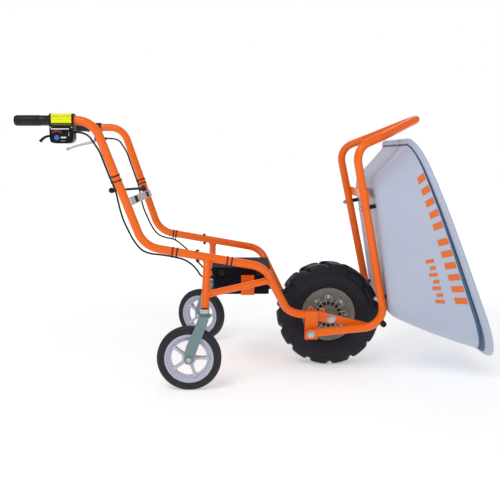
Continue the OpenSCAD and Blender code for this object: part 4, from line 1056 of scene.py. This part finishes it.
@dataclass
class Tub(Assembly):
    """Moulded tub with a rolled rim, and the coloured bars on its right wall."""

    back: tuple[float, float] = (237, 777)
    tilt: float = 67.85
    long: float = 752
    rim_half: float = 300
    floor: tuple[float, float] = (69, 514)
    floor_half: float = 208
    depth: tuple[float, float] = (156, 262)
    round_floor: float = 18
    camber: float = 12
    wall: float = 4

    def at(self, s: float, y: float, d: float) -> Vector:
        """Point given in millimetres along the rim, across, and down from the rim."""
        a = math.radians(self.tilt)
        return at(self.back[0] + s * math.cos(a) - d * math.sin(a), y,
                  self.back[1] - s * math.sin(a) - d * math.cos(a))

    def sizes(self, t: float, grow: float) -> tuple[float, ...]:
        """Ends, half widths and corner radii of the loop at a share t of the way down."""
        return (mix(0, self.floor[0], t) - grow, mix(self.long, self.floor[1], t) + grow,
            mix(self.rim_half - 12, self.floor_half, t) + grow,
            mix(self.rim_half + 10, self.floor_half, t) + grow, mix(90, 60, t) + grow, mix(150, 70, t) + grow)

    def depth_at(self, s: float, t: float) -> float:
        """Depth of the wall at a share t of the way down."""
        share = min(max(s / self.long, 0.0), 1.0)
        arch = self.camber * 6.75 * share * (1 - share) ** 2 * (1 - t)
        return t * mix(*self.depth, (s - self.floor[0]) / (self.floor[1] - self.floor[0])) - arch

    def loop(self, t: float, grow: float, sink: float) -> list[Vector]:
        """Loop round the tub.

        Args:
            t: Share of the way from the rim to the floor.
            grow: Millimetres outwards.
            sink: Millimetres down.

        Returns:
            The loop's points, in metres.
        """
        s0, s1, w0, w1, r0, r1 = self.sizes(t, grow)
        flat = []
        for cx, cy, r, start, steps in ((s1 - r1, w1 - r1, r1, 0, 22), (s0 + r0, w0 - r0, r0, 90, 18),
                                        (s0 + r0, r0 - w0, r0, 180, 18), (s1 - r1, r1 - w1, r1, 270, 22)):
            for k in range(steps + 1):
                a = math.radians(start + 90 * k / steps)
                flat.append((cx + r * math.cos(a), cy + r * math.sin(a)))
        full = []
        for i, p in enumerate(flat):
            q = flat[(i + 1) % len(flat)]
            pieces = 8 if math.dist(p, q) > 60 else 1
            full += [(mix(p[0], q[0], k / pieces), mix(p[1], q[1], k / pieces)) for k in range(pieces)]
        return [self.at(s, y, sink + self.depth_at(s, t)) for s, y in full]

    def build(self) -> None:
        """Builds the shell and its marks."""
        turn = [k / 7 for k in range(8)]
        edge = [(1 - 0.12 * q * q, -self.round_floor * (1 - q) ** 2, 0.0) for q in turn]
        outside = [(1, -2 * self.round_floor, 0), *edge, (0.75, 0, 0), (0.5, 0, 0), (0.25, 0, 0),
            (0.12, 0, 0), (0.07, 0, 1), (0.052, 0, 5), (0.046, 0.4, 7.4), (0.036, 2.6, 9.2),
            (0.022, 7.0, 9.6), (0.01, 10.4, 8.6), (0, 11.7, 5.4), (0, 11.5, 2.6), (0, 10.4, 0.8),
            (0, 8, -0.6), (0, 5, -2.0), (0, 2, -2.9)]
        inside = [(0, -1.4, -2.4), (0, -3.2, -0.9), (0.004, -4, 1.6), (0.03, -4, 6), (0.065, -4, 5.2),
            (0.10, -4, 2), (0.25, -4, 0), (0.5, -4, 0), (0.75, -4, 0), *[
            (t, g - self.wall, -self.wall * (1 - q)) for (t, g, _), q in reversed(list(zip(edge, turn)))],
            (1, -2 * self.round_floor - self.wall, -self.wall)]
        loops = [self.loop(*row) for row in [*outside, *inside]]
        shell = self.paint.dress(lofted("tub_moulding", loops), "tub_plastic")
        self.hand_in(shell, "tub", "tub_plastic", "tub_shell", angle=42)
        # The strip of painted shade under the rolled rim.
        self.groove()
        self.marks()

    def groove(self) -> None:
        """Dark strip of painted shade that runs round the tub, close under the rolled rim, where the rim's
        shadow falls.
        """
        rows = [(0.118, 0.35, 0), (0.07, 0.35, 1.2), (0.050, 0.7, 6.4), (0.050, -1.2, 6.4), (0.118, -1.2, 0)]
        painted_shade_strip = lofted("tub_rim_channel", [self.loop(*row) for row in rows], closed=True)
        self.hand_in(self.paint.dress(painted_shade_strip, "tub_painted_rim_shade"), "tub", "tub_plastic", angle=50)

    def on_wall(self, f: float, t: float, lift: float) -> Vector:
        """Point on the outside of the right wall, at shares f along it and t down it."""
        s0, s1, w0, w1, r0, r1 = self.sizes(t, lift)
        s = mix(s0 + r0, s1 - r1, f)
        return self.at(s, -mix(w0, w1, f), self.depth_at(s, t))

    def marks(self) -> None:
        """Two rows of plain slanted bars."""
        bars = [(0.01 + 0.083 * k + (0.03 if k > 4 else 0), 0.044, 0.13, 0.26) for k in range(11)]
        bars += [(0.60 + 0.052 * k, 0.026, 0.37, 0.44 if k % 2 else 0.47) for k in range(7)]
        points, faces = [], []
        for f, wide, t0, t1 in bars:
            base = len(points)
            corners = [(f, t0), (f + wide, t0), (f + wide + 0.012, t1), (f + 0.012, t1)]
            points += [self.on_wall(a, b, lift) for lift in (0.05, 0.55) for a, b in corners]
            faces += [(base + a, base + b, base + c, base + d) for a, b, c, d in (
                (0, 1, 2, 3), (4, 5, 6, 7), (0, 1, 5, 4), (1, 2, 6, 5), (2, 3, 7, 6), (3, 0, 4, 7))]
        self.hand_in(self.paint.dress(mesh_object("tub_wall_bars", points, faces), "tub_decal"), "tub",
                     "tub_plastic")


@dataclass
class Grips(Assembly):
    """Rubber grips with raised rings and a domed end."""

    rings: int = 16

    def build(self) -> None:
        """Builds both grips."""
        for side in Side:
            word = side.word
            low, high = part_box(f"grip_{word}")
            length = (high.x - low.x) / MM
            flange = (high.z - low.z) / 2 / MM
            body = [(13.6, 2), (13.6, length), (flange - 1.2, length), (flange - 0.1, length - 1),
                (flange - 0.1, length - 5), (flange - 1, length - 6), (15.6, length - 8),
                (15.4, length * 0.7), (16.2, length * 0.45), (15.8, length * 0.15), (15.2, 5), (13.6, 1.6),
                (10, 0.3), (0.05, 0.0), (0.05, 2)]
            sleeve = self.paint.dress(revolve("sleeve", body, 64), "grip_rubber")
            ridge = revolve("ridge", [(14.2, -1.4), (16.1, -1.2), (16.5, -0.6), (16.5, 0.6), (16.1, 1.2),
                                             (14.2, 1.4)], 48)
            bands = self.arrays.repeat("bands", Layout.LINE, ridge, self.rings, self.paint["grip_rubber"],
                                       step=(0, 0, 4.6 * MM))
            moved(bands, Matrix.Translation(at(0, 0, 9)))
            piece = joined(f"rubber_grip_{word}", [sleeve, bands])
            place = Vector((low.x, HANDLE_W * side.value * MM, HANDLE_Z * MM))
            moved(piece, Matrix.Translation(place) @ Matrix.Rotation(math.pi / 2, 4, "Y"))
            self.hand_in(piece, "chassis", "grip_rubber", f"grip_{word}", angle=50)


@dataclass
class ControlPod(Assembly):
    """Control pod on the right handle: cover, end flanges, panel marks, screws, button and thumb lever."""

    tube: float = 13.6
    grooves: tuple[float, ...] = (2.0, 6.5, 12.0)
    lever_x: float = -862

    def extruded(self, name: str, outline: Outline, low: float, high: float) -> Shape:
        """Extrudes an outline of (across, up from the handle's axis) along X, with a hole for the handle."""
        piece = holed_plate(name, scaled(outline), (0, 0, self.tube * MM), low * MM, high * MM)
        place = Matrix(((0, 0, 1, 0), (1, 0, 0, -HANDLE_W * MM), (0, 1, 0, HANDLE_Z * MM), (0, 0, 0, 1)))
        return moved(piece, place)

    def build(self) -> None:
        """Builds the pieces from the cover down to the lever."""
        low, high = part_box("pod_sleeve")
        x0, x1, top = low.x / MM, high.x / MM, high.z / MM - HANDLE_Z
        base, half = low.z / MM - HANDLE_Z, high.y / MM + HANDLE_W
        side = [(half - 0.2, base)]
        for groove in self.grooves:
            side += [(half - 0.2, groove - 0.8), (half - 1.0, groove), (half - 0.2, groove + 0.8)]
        side += [(half - 8.2 + 8 * math.cos(a), top - 8.1 + 8 * math.sin(a))
                 for a in [math.pi / 2 * k / 8 for k in range(9)]]
        outline = side + [(-y, z) for y, z in reversed(side)]
        cover = self.paint.dress(self.extruded("cover_shell", outline, x0 + 5.4, x1 - 5.4), "yellow_cover")
        self.hand_in(cover, "chassis", "yellow_cover", "pod_sleeve", angle=20)
        # The first strip is painted shade along the cover's downward-facing lower edge; the second is the
        # dark seam at its bottom.
        for name, z0, z1, key, slot in (
                ("cover_hem", base + 3.4, base + 9.0, "cover_hem", "yellow_cover"),
                ("cover_seam", base + 0.1, base + 3.3, "black_case", "black_plastic")):
            strips = []
            for s in (-1, 1):
                y = sorted((s * (half - 1.2) - HANDLE_W, s * (half - 0.05) - HANDLE_W))
                strip = block("strip", at(x0 + 5.2, y[0], z0 + HANDLE_Z), at(x1 - 5.2, y[1], z1 + HANDLE_Z))
                strips.append(softened(strip, 0.4 * MM, 2))
            self.hand_in(self.paint.dress(joined(name, strips), key), "chassis", slot, angle=30)
        ends = []
        for a, b in ((x0, x0 + 5), (x1 - 5, x1)):
            flange = rounded([(-half - 1, base - 1.5), (half + 1, base - 1.5), (half + 1, top + 0.9),
                              (-half - 1, top + 0.9)], 11, 8)
            ends.append(softened(self.extruded("end", flange, a + 0.02, b), 1.2 * MM))
        flanges = self.paint.dress(joined("cover_end_flanges", ends), "black_plastic")
        self.hand_in(flanges, "chassis", "black_plastic", angle=40)
        self.marks()
        self.button()
        self.lever()

    def marks(self) -> None:
        """Plain printed bars and a lamp strip on the panel's face, and two screws."""
        low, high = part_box("control_panel")
        face = low.y - 0.35 * MM
        shift = Matrix.Translation((0, face, 0)) @ Matrix.Rotation(math.pi / 2, 4, "X")
        x0, x1, z0, z1 = (v / MM for v in (low.x, high.x, low.z, high.z))
        white = [softened(block("bar", at(a, b, -0.35), at(c, d, 0.25)), 0.2 * MM, 2) for a, b, c, d in (
            (x0 + 5, z1 - 10.6, x0 + 59, z1 - 7.4), (x0 + 34, z1 - 36.8, x0 + 50, z1 - 32.4),
            (x0 + 34, z1 - 45.2, x0 + 46, z1 - 44.2), (x0 + 57.6, z1 - 31, x0 + 58.8, z1 - 18))]
        bars = moved(self.paint.dress(joined("panel_bars", white), "white_mark"), shift)
        self.hand_in(bars, "chassis", "panel_gloss")
        arc = []
        for r in (12.0, 16.0):
            row = [(x0 + 22 + r * math.cos(a), z1 - 25 + r * 0.72 * math.sin(a)) for a in
                   [math.radians(20 + 140 * k / 14) for k in range(15)]]
            arc += list(reversed(row)) if arc else row
        lamp = self.paint.dress(prism("panel_lamp_arc", scaled(arc), -0.35 * MM, 0.25 * MM), "red_mark")
        self.hand_in(moved(lamp, shift), "chassis", "panel_gloss")
        outer = rounded([(x0 + 1, z0 + 1), (x1 - 1, z0 + 1), (x1 - 1, z1 - 0.6), (x0 + 1, z1 - 0.6)], 12, 8)
        inner = [(mix(x, (x0 + x1) / 2, 0.035), mix(z, (z0 + z1) / 2, 0.06)) for x, z in outer]
        edge = band("panel_edge", scaled(outer), scaled(inner), -0.3 * MM, 0.3 * MM)
        self.hand_in(moved(self.paint.dress(edge, "black_case"), shift), "chassis", "black_plastic")
        screw = revolve("screw", [(0.05, 1.0), (1.2, 1.2), (2.2, 0.9), (2.6, 0.2), (2.6, -0.3),
            (0.05, -0.3)], 24)
        screws = self.arrays.repeat("panel_screws", Layout.LINE, screw, 2, self.paint["zinc_steel"],
                                    step=at(x1 - x0 - 9, 0, 0))
        moved(screws, shift @ Matrix.Translation(at(x0 + 4.5, z1 - 4.3, 0)))
        self.hand_in(screws, "chassis", "zinc_steel")

    def button(self) -> None:
        """Domed push button."""
        low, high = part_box("power_button")
        r, long = (high.x - low.x) / 2 / MM, (high.y - low.y) / MM
        cap = revolve("domed_button", [(0.05, 0), (r - 0.1, 0), (r - 0.05, long - 1.0),
            (r - 0.8, long - 0.15), (r * 0.55, long - 0.02), (r * 0.45, long - 0.5), (0.05, long - 0.7)], 48)
        self.paint.dress(cap, "blue_button")
        centre = (low + high) / 2
        moved(cap, Matrix.Translation((centre.x, high.y, centre.z)) @ Matrix.Rotation(math.pi / 2, 4, "X"))
        self.hand_in(cap, "button", "blue_button", "power_button", angle=40)

    def lever(self) -> None:
        """Thumb lever with a thin curved blade."""
        centre = (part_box("throttle_lever")[0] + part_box("throttle_lever")[1]) / 2
        x, z, y = self.lever_x, HANDLE_Z, centre.y / MM
        blade = prism("blade", scaled([(x, z - 42), (-884, z - 42.2), (-896, z - 43.7), (-906, z - 46.7),
            (-914, z - 52.2), (-923.6, z - 61), (-916.2, z - 66.6), (-909, z - 57.8), (-902, z - 52.8),
            (-894, z - 50.3), (-884, z - 48.8), (x - 2, z - 55)]), -4 * MM, 4 * MM)
        hub = revolve("hub", [(3.1, -4), (7.4, -4), (8, -3.4), (8, 3.4), (7.4, 4), (3.1, 4)], 40)
        moved(hub, Matrix.Translation(at(x, z - 49, 0)))
        piece = self.paint.dress(joined("thumb_lever", [softened(blade, 1.6 * MM), hub]), "black_plastic")
        moved(piece, Matrix.Translation((0, y * MM, 0)) @ Matrix.Rotation(math.pi / 2, 4, "X"))
        self.hand_in(piece, "throttle", "black_plastic", "throttle_lever", angle=40)


@dataclass
class BrakeAndLatch(Assembly):
    """Brake lever on the left handle, and the knob of the latch."""

    def build(self) -> None:
        """Builds the tapered lever and the round knob."""
        z, y = HANDLE_Z, HANDLE_W
        route = [at(-853, y, z - 43), at(-872, y, z - 54.5), at(-905, y, z - 62.5), at(-938, y, z - 71),
                 at(-956, y, z - 77.5), at(-964, y, z - 80.6)]
        radii = [6.0 * MM, 5.2 * MM, 4.4 * MM, 3.8 * MM, 3.4 * MM, 3.6 * MM]
        path = smooth_path(route, 5)
        spread = [radii[min(int(i / 5), 5)] for i in range(len(path))]
        spread = [mix(spread[i], spread[min(i + 5, len(path) - 1)], (i % 5) / 5) for i in range(len(path))]
        blade = tapered_bar("blade", *rounded_ends(path, spread), flat=0.9)
        ball = revolve("ball", [(6.3 * math.cos(a), 6.3 * math.sin(a)) for a in
                                [math.radians(-89.5 + 179 * k / 16) for k in range(17)]], 32)
        moved(ball, Matrix.Translation(at(-968, y, z - 82)))
        hub = revolve("hub", [(3.1, -4.9), (7.2, -4.9), (7.9, -4.2), (7.9, 4.2), (7.2, 4.9), (3.1, 4.9)], 40)
        moved(hub, Matrix.Translation(at(-852, y, z - 42)) @ Matrix.Rotation(math.pi / 2, 4, "X"))
        piece = self.paint.dress(joined("brake_blade", [blade, ball, hub]), "bare_aluminium")
        self.hand_in(piece, "brake", "bare_aluminium", "brake_lever", angle=40)
        pin, knob = at(-674, 232, 0), at(-761, 50, 0)
        way = (knob - pin).normalized()
        low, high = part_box("latch_knob")
        level = (low.z + high.z) / 2
        profile = [(0.05, -13.9), (6.2, -13.9), (7.4, -13.2), (8.2, -9.5), (9.3, -3), (9.85, 2.5), (9.6, 6.6),
                   (8.2, 9.8), (5.4, 11.5), (2.4, 11.9), (0.05, 11.95)]
        ball = self.paint.dress(revolve("latch_ball", profile, 64), "black_plastic")
        moved(ball, turned_to(way, Vector((knob.x, knob.y, level))))
        self.hand_in(ball, "latch", "black_plastic", "latch_knob", angle=40)


@dataclass
class Cables(Assembly):
    """Cables that the frame holds all the way, and the ties that hold them."""

    cable: float = 3.0
    tube: float = 13.5
    routes: dict[str, list[tuple[float, float, float]]] = field(default_factory=lambda: {
        "control_cable": [
            (-816, -300, 803), (-798, -300, 802), (-782, -299, 798), (-769, -296, 789), (-759, -292, 774),
            (-749, -289, 758), *[(x, -y, z) for x, y, z in DOWN_THE_TUBE], (-562, -240, 418),
            (-530, -240, 413), (-505, -237, 407), (-484, -228, 398), (-464, -206, 380), (-450, -170, 356),
            (-442, -128, 334),
            (-432, -96, 322), (-422, -84, 320), (-410, -84, 320), (-400, -84, 320)],
        "brake_cable": [
            (-820, 300, 796), (-800, 300, 796), (-783, 299, 793), (-769, 296, 786), (-759, 292, 773),
            (-749, 289, 758), *DOWN_THE_TUBE, (-572, 238, 418), (-552, 230, 411), (-528, 210, 396),
            (-500, 180, 376), (-474, 146, 352), (-450, 112, 330), (-434, 90, 321), (-422, 84, 320),
            (-410, 84, 320), (-400, 84, 320)],
        "motor_cable": [
            (-212, -92, 286), (-202, -92, 286), (-192, -92, 285), (-178, -92, 273), (-168, -91, 254),
            (-152, -90, 234), (-132, -90, 217), (-108, -90, 206), (-80, -90, 198), (-52, -90, 192),
            (-30, -90, 187), (-8, -90, 181)]})

    def build(self) -> None:
        """Builds the three cables and all the ties."""
        for name, route in self.routes.items():
            line = smooth_path([at(*p) for p in route], 4)
            piece = self.arrays.bar(f"{name}_sheath", line, self.cable * MM, self.paint["cable_sheath"], 14)
            self.hand_in(piece, "chassis", "cable_sheath", name, angle=60)
        shoulder, knee, hip = mirrored(Side.LEFT, SHOULDER, KNEE, HIP)
        right = mirrored(Side.RIGHT, SHOULDER, KNEE, HIP)
        ties = [self.tie(a, b, x) for a, b, places in ((shoulder, knee, (-680.6, -685.1)),
            (knee, hip, (-552, -562)), (right[0], right[1], (-690.5, -696)),
            (right[1], right[2], (-336, -350, -510, -524))) for x in places]
        piece = self.paint.dress(joined("tie_bands", ties), "cable_sheath")
        self.hand_in(piece, "chassis", "cable_sheath", "cable_ties", angle=40)

    def belt(self, spare: float) -> Outline:
        """Line of a belt round the tube and the cable beside it, at a distance from both."""
        big, small, reach = self.tube + spare, self.cable + spare, self.tube + self.cable
        result = []
        for k in range(64):
            a = 2 * math.pi * k / 64
            far = reach * math.cos(a) + small > big
            centre, r = (reach, small) if far else (0, big)
            result.append((centre + r * math.cos(a), r * math.sin(a)))
        return result

    def tie(self, a: Vector, b: Vector, x: float) -> Shape:
        """Band with a square head, round the tube that runs from a to b and the cable under it."""
        way = (b - a).normalized()
        down = Vector((way.z, 0, -way.x)).normalized()
        down = down if down.z < 0 else -down
        strap = band("band", scaled(self.belt(1.6)), scaled(self.belt(0.3)), -2 * MM, 2 * MM)
        strap = softened(strap, 0.35 * MM, 2)
        head = block("head", at(-2.6, self.tube + 0.4, -2.4), at(2.6, self.tube + 4.4, 2.4))
        head = softened(head, 0.6 * MM, 2)
        piece = joined("tie", [strap, head])
        side = way.cross(down)
        turn = Matrix((down, side, way)).transposed().to_4x4()
        return moved(piece, Matrix.Translation(station(a, b, 0, x)) @ turn)


@dataclass
class BatteryTrim(Assembly):
    """Ribs and latches on the battery case, which itself is the frame's node."""

    rib_step: float = 15.0

    def build(self) -> None:
        """Builds the trim on both sides and on the lid."""
        low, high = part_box("battery_case")
        lid_low, lid_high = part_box("battery_lid")
        x0, x1, half = low.x / MM, high.x / MM, high.y / MM
        z0, z1 = low.z / MM, lid_low.z / MM
        ribs, latches = [], []
        for s in (-1, 1):
            y = sorted((s * (half + 0.02), s * (half + 2.2)))
            for start, count in ((x0 + 14, 6), (x1 - 54, 3)):
                rib = softened(block("rib", at(-1.6, y[0], z0 + 10), at(1.6, y[1], z1 - 6)), 0.7 * MM, 2)
                row = self.arrays.repeat("ribs", Layout.LINE, rib, count, self.paint["black_case"],
                                         step=(self.rib_step * MM, 0, 0))
                ribs.append(moved(row, Matrix.Translation(at(start, 0, 0))))
            y = sorted((s * (lid_high.y / MM + 0.02), s * (lid_high.y / MM + 3.4)))
            for x in (x0 + 30, x1 - 36):
                latch = block("latch", at(x - 9, y[0], z1 - 2), at(x + 9, y[1], z1 + 17))
                latches.append(softened(latch, 1.4 * MM))
        self.hand_in(joined("battery_case_ribs", ribs), "chassis", "black_case", angle=40)
        clips = self.paint.dress(joined("battery_lid_latches", latches), "black_plastic")
        self.hand_in(clips, "chassis", "black_plastic", angle=40)


@dataclass(frozen=True)
class Lamp:
    """One area light: its place in metres, its size and its power."""

    name: str
    place: tuple[float, float, float]
    size: float
    power: float


LAMPS = (Lamp("key light", (-1.6, -2.6, 3.8), 2.2, 75), Lamp("fill light", (2.6, -2.8, 1.6), 2.4, 14),
         Lamp("back light", (0.4, 3.4, 3.0), 3.0, 30))


def make_camera() -> None:
    """Makes the camera at the machine's right side, a little above it."""
    data = bpy.data.cameras.new("camera")
    data.lens, data.sensor_width = CAMERA_LENS, CAMERA_SENSOR
    data.clip_start, data.clip_end = CAMERA_CLIP
    camera = bpy.data.objects.new("camera", data)
    camera.location = CAMERA_PLACE
    camera.rotation_euler = (math.radians(CAMERA_PITCH), 0.0, math.radians(CAMERA_YAW))
    bpy.context.scene.collection.objects.link(camera)
    bpy.context.scene.camera = camera


def make_stage() -> None:
    """Makes the pale floor, the soft lights and the surrounding light."""
    scene = bpy.context.scene
    scene.view_settings.view_transform = "Standard"
    square = [(-FLOOR_HALF, -FLOOR_HALF, 0), (FLOOR_HALF, -FLOOR_HALF, 0), (FLOOR_HALF, FLOOR_HALF, 0),
              (-FLOOR_HALF, FLOOR_HALF, 0)]
    floor = mesh_object("floor", square, [(0, 1, 2, 3)])
    material = bpy.data.materials.new("pale floor")
    material.use_nodes = True
    tree = material.node_tree
    shader = tree.nodes["Principled BSDF"]
    ramp = tree.nodes.new("ShaderNodeValToRGB")
    ramp.color_ramp.elements[0].color = (0.80, 0.80, 0.81, 1)
    ramp.color_ramp.elements[1].color = (0.84, 0.84, 0.84, 1)
    tree.links.new(noise_node(tree, 3.0, 2.0), ramp.inputs["Fac"])
    tree.links.new(ramp.outputs["Color"], shader.inputs["Base Color"])
    set_inputs(shader, {"Roughness": 0.9, "Specular IOR Level": 0.1, "Emission Color": (1.0, 1.0, 1.0)})
    place, reach = tree.nodes.new("ShaderNodeTexCoord"), tree.nodes.new("ShaderNodeVectorMath")
    reach.operation = "LENGTH"
    tree.links.new(place.outputs["Object"], reach.inputs[0])
    past = math_node(tree, "SUBTRACT", reach.outputs["Value"], GLOW_START)
    glow = math_node(tree, "MINIMUM", math_node(tree, "MULTIPLY", past, GLOW_RISE), FAR_GLOW)
    glow = math_node(tree, "MAXIMUM", glow, 0.0)
    tree.links.new(math_node(tree, "ADD", glow, FLOOR_GLOW), shader.inputs["Emission Strength"])
    floor.data.materials.append(material)
    for lamp in LAMPS:
        data = bpy.data.lights.new(lamp.name, "AREA")
        data.energy, data.size = lamp.power, lamp.size
        light = bpy.data.objects.new(lamp.name, data)
        light.location = lamp.place
        light.rotation_euler = (Vector(LIGHTS_AIM) - Vector(lamp.place)).to_track_quat("-Z", "Y").to_euler()
        scene.collection.objects.link(light)
    world = bpy.data.worlds.new("studio")
    world.use_nodes = True
    tree = world.node_tree
    soft, white = tree.nodes["Background"], tree.nodes.new("ShaderNodeBackground")
    set_inputs(soft, {"Color": (0.96, 0.98, 1.0), "Strength": 0.40})
    set_inputs(white, {"Color": (1.0, 1.0, 1.0)})
    seen, pick = tree.nodes.new("ShaderNodeLightPath"), tree.nodes.new("ShaderNodeMixShader")
    tree.links.new(seen.outputs["Is Camera Ray"], pick.inputs[0])
    tree.links.new(soft.outputs[0], pick.inputs[1])
    tree.links.new(white.outputs[0], pick.inputs[2])
    tree.links.new(pick.outputs[0], tree.nodes["World Output"].inputs["Surface"])
    scene.world = world


def main() -> None:
    """Builds the stage, the camera and every sub-assembly in order."""
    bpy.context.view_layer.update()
    make_camera()
    make_stage()
    paint, arrays = Paint(), Arrays()
    for kind in (Carried, FrameTubes, DriveWheel, RightCaster, LeftCaster, Tub, Grips, ControlPod,
                 BrakeAndLatch, Cables, BatteryTrim):
        log.info("== %s", kind.__name__)
        kind(paint, arrays).build()


if __name__ == "__main__":
    main()
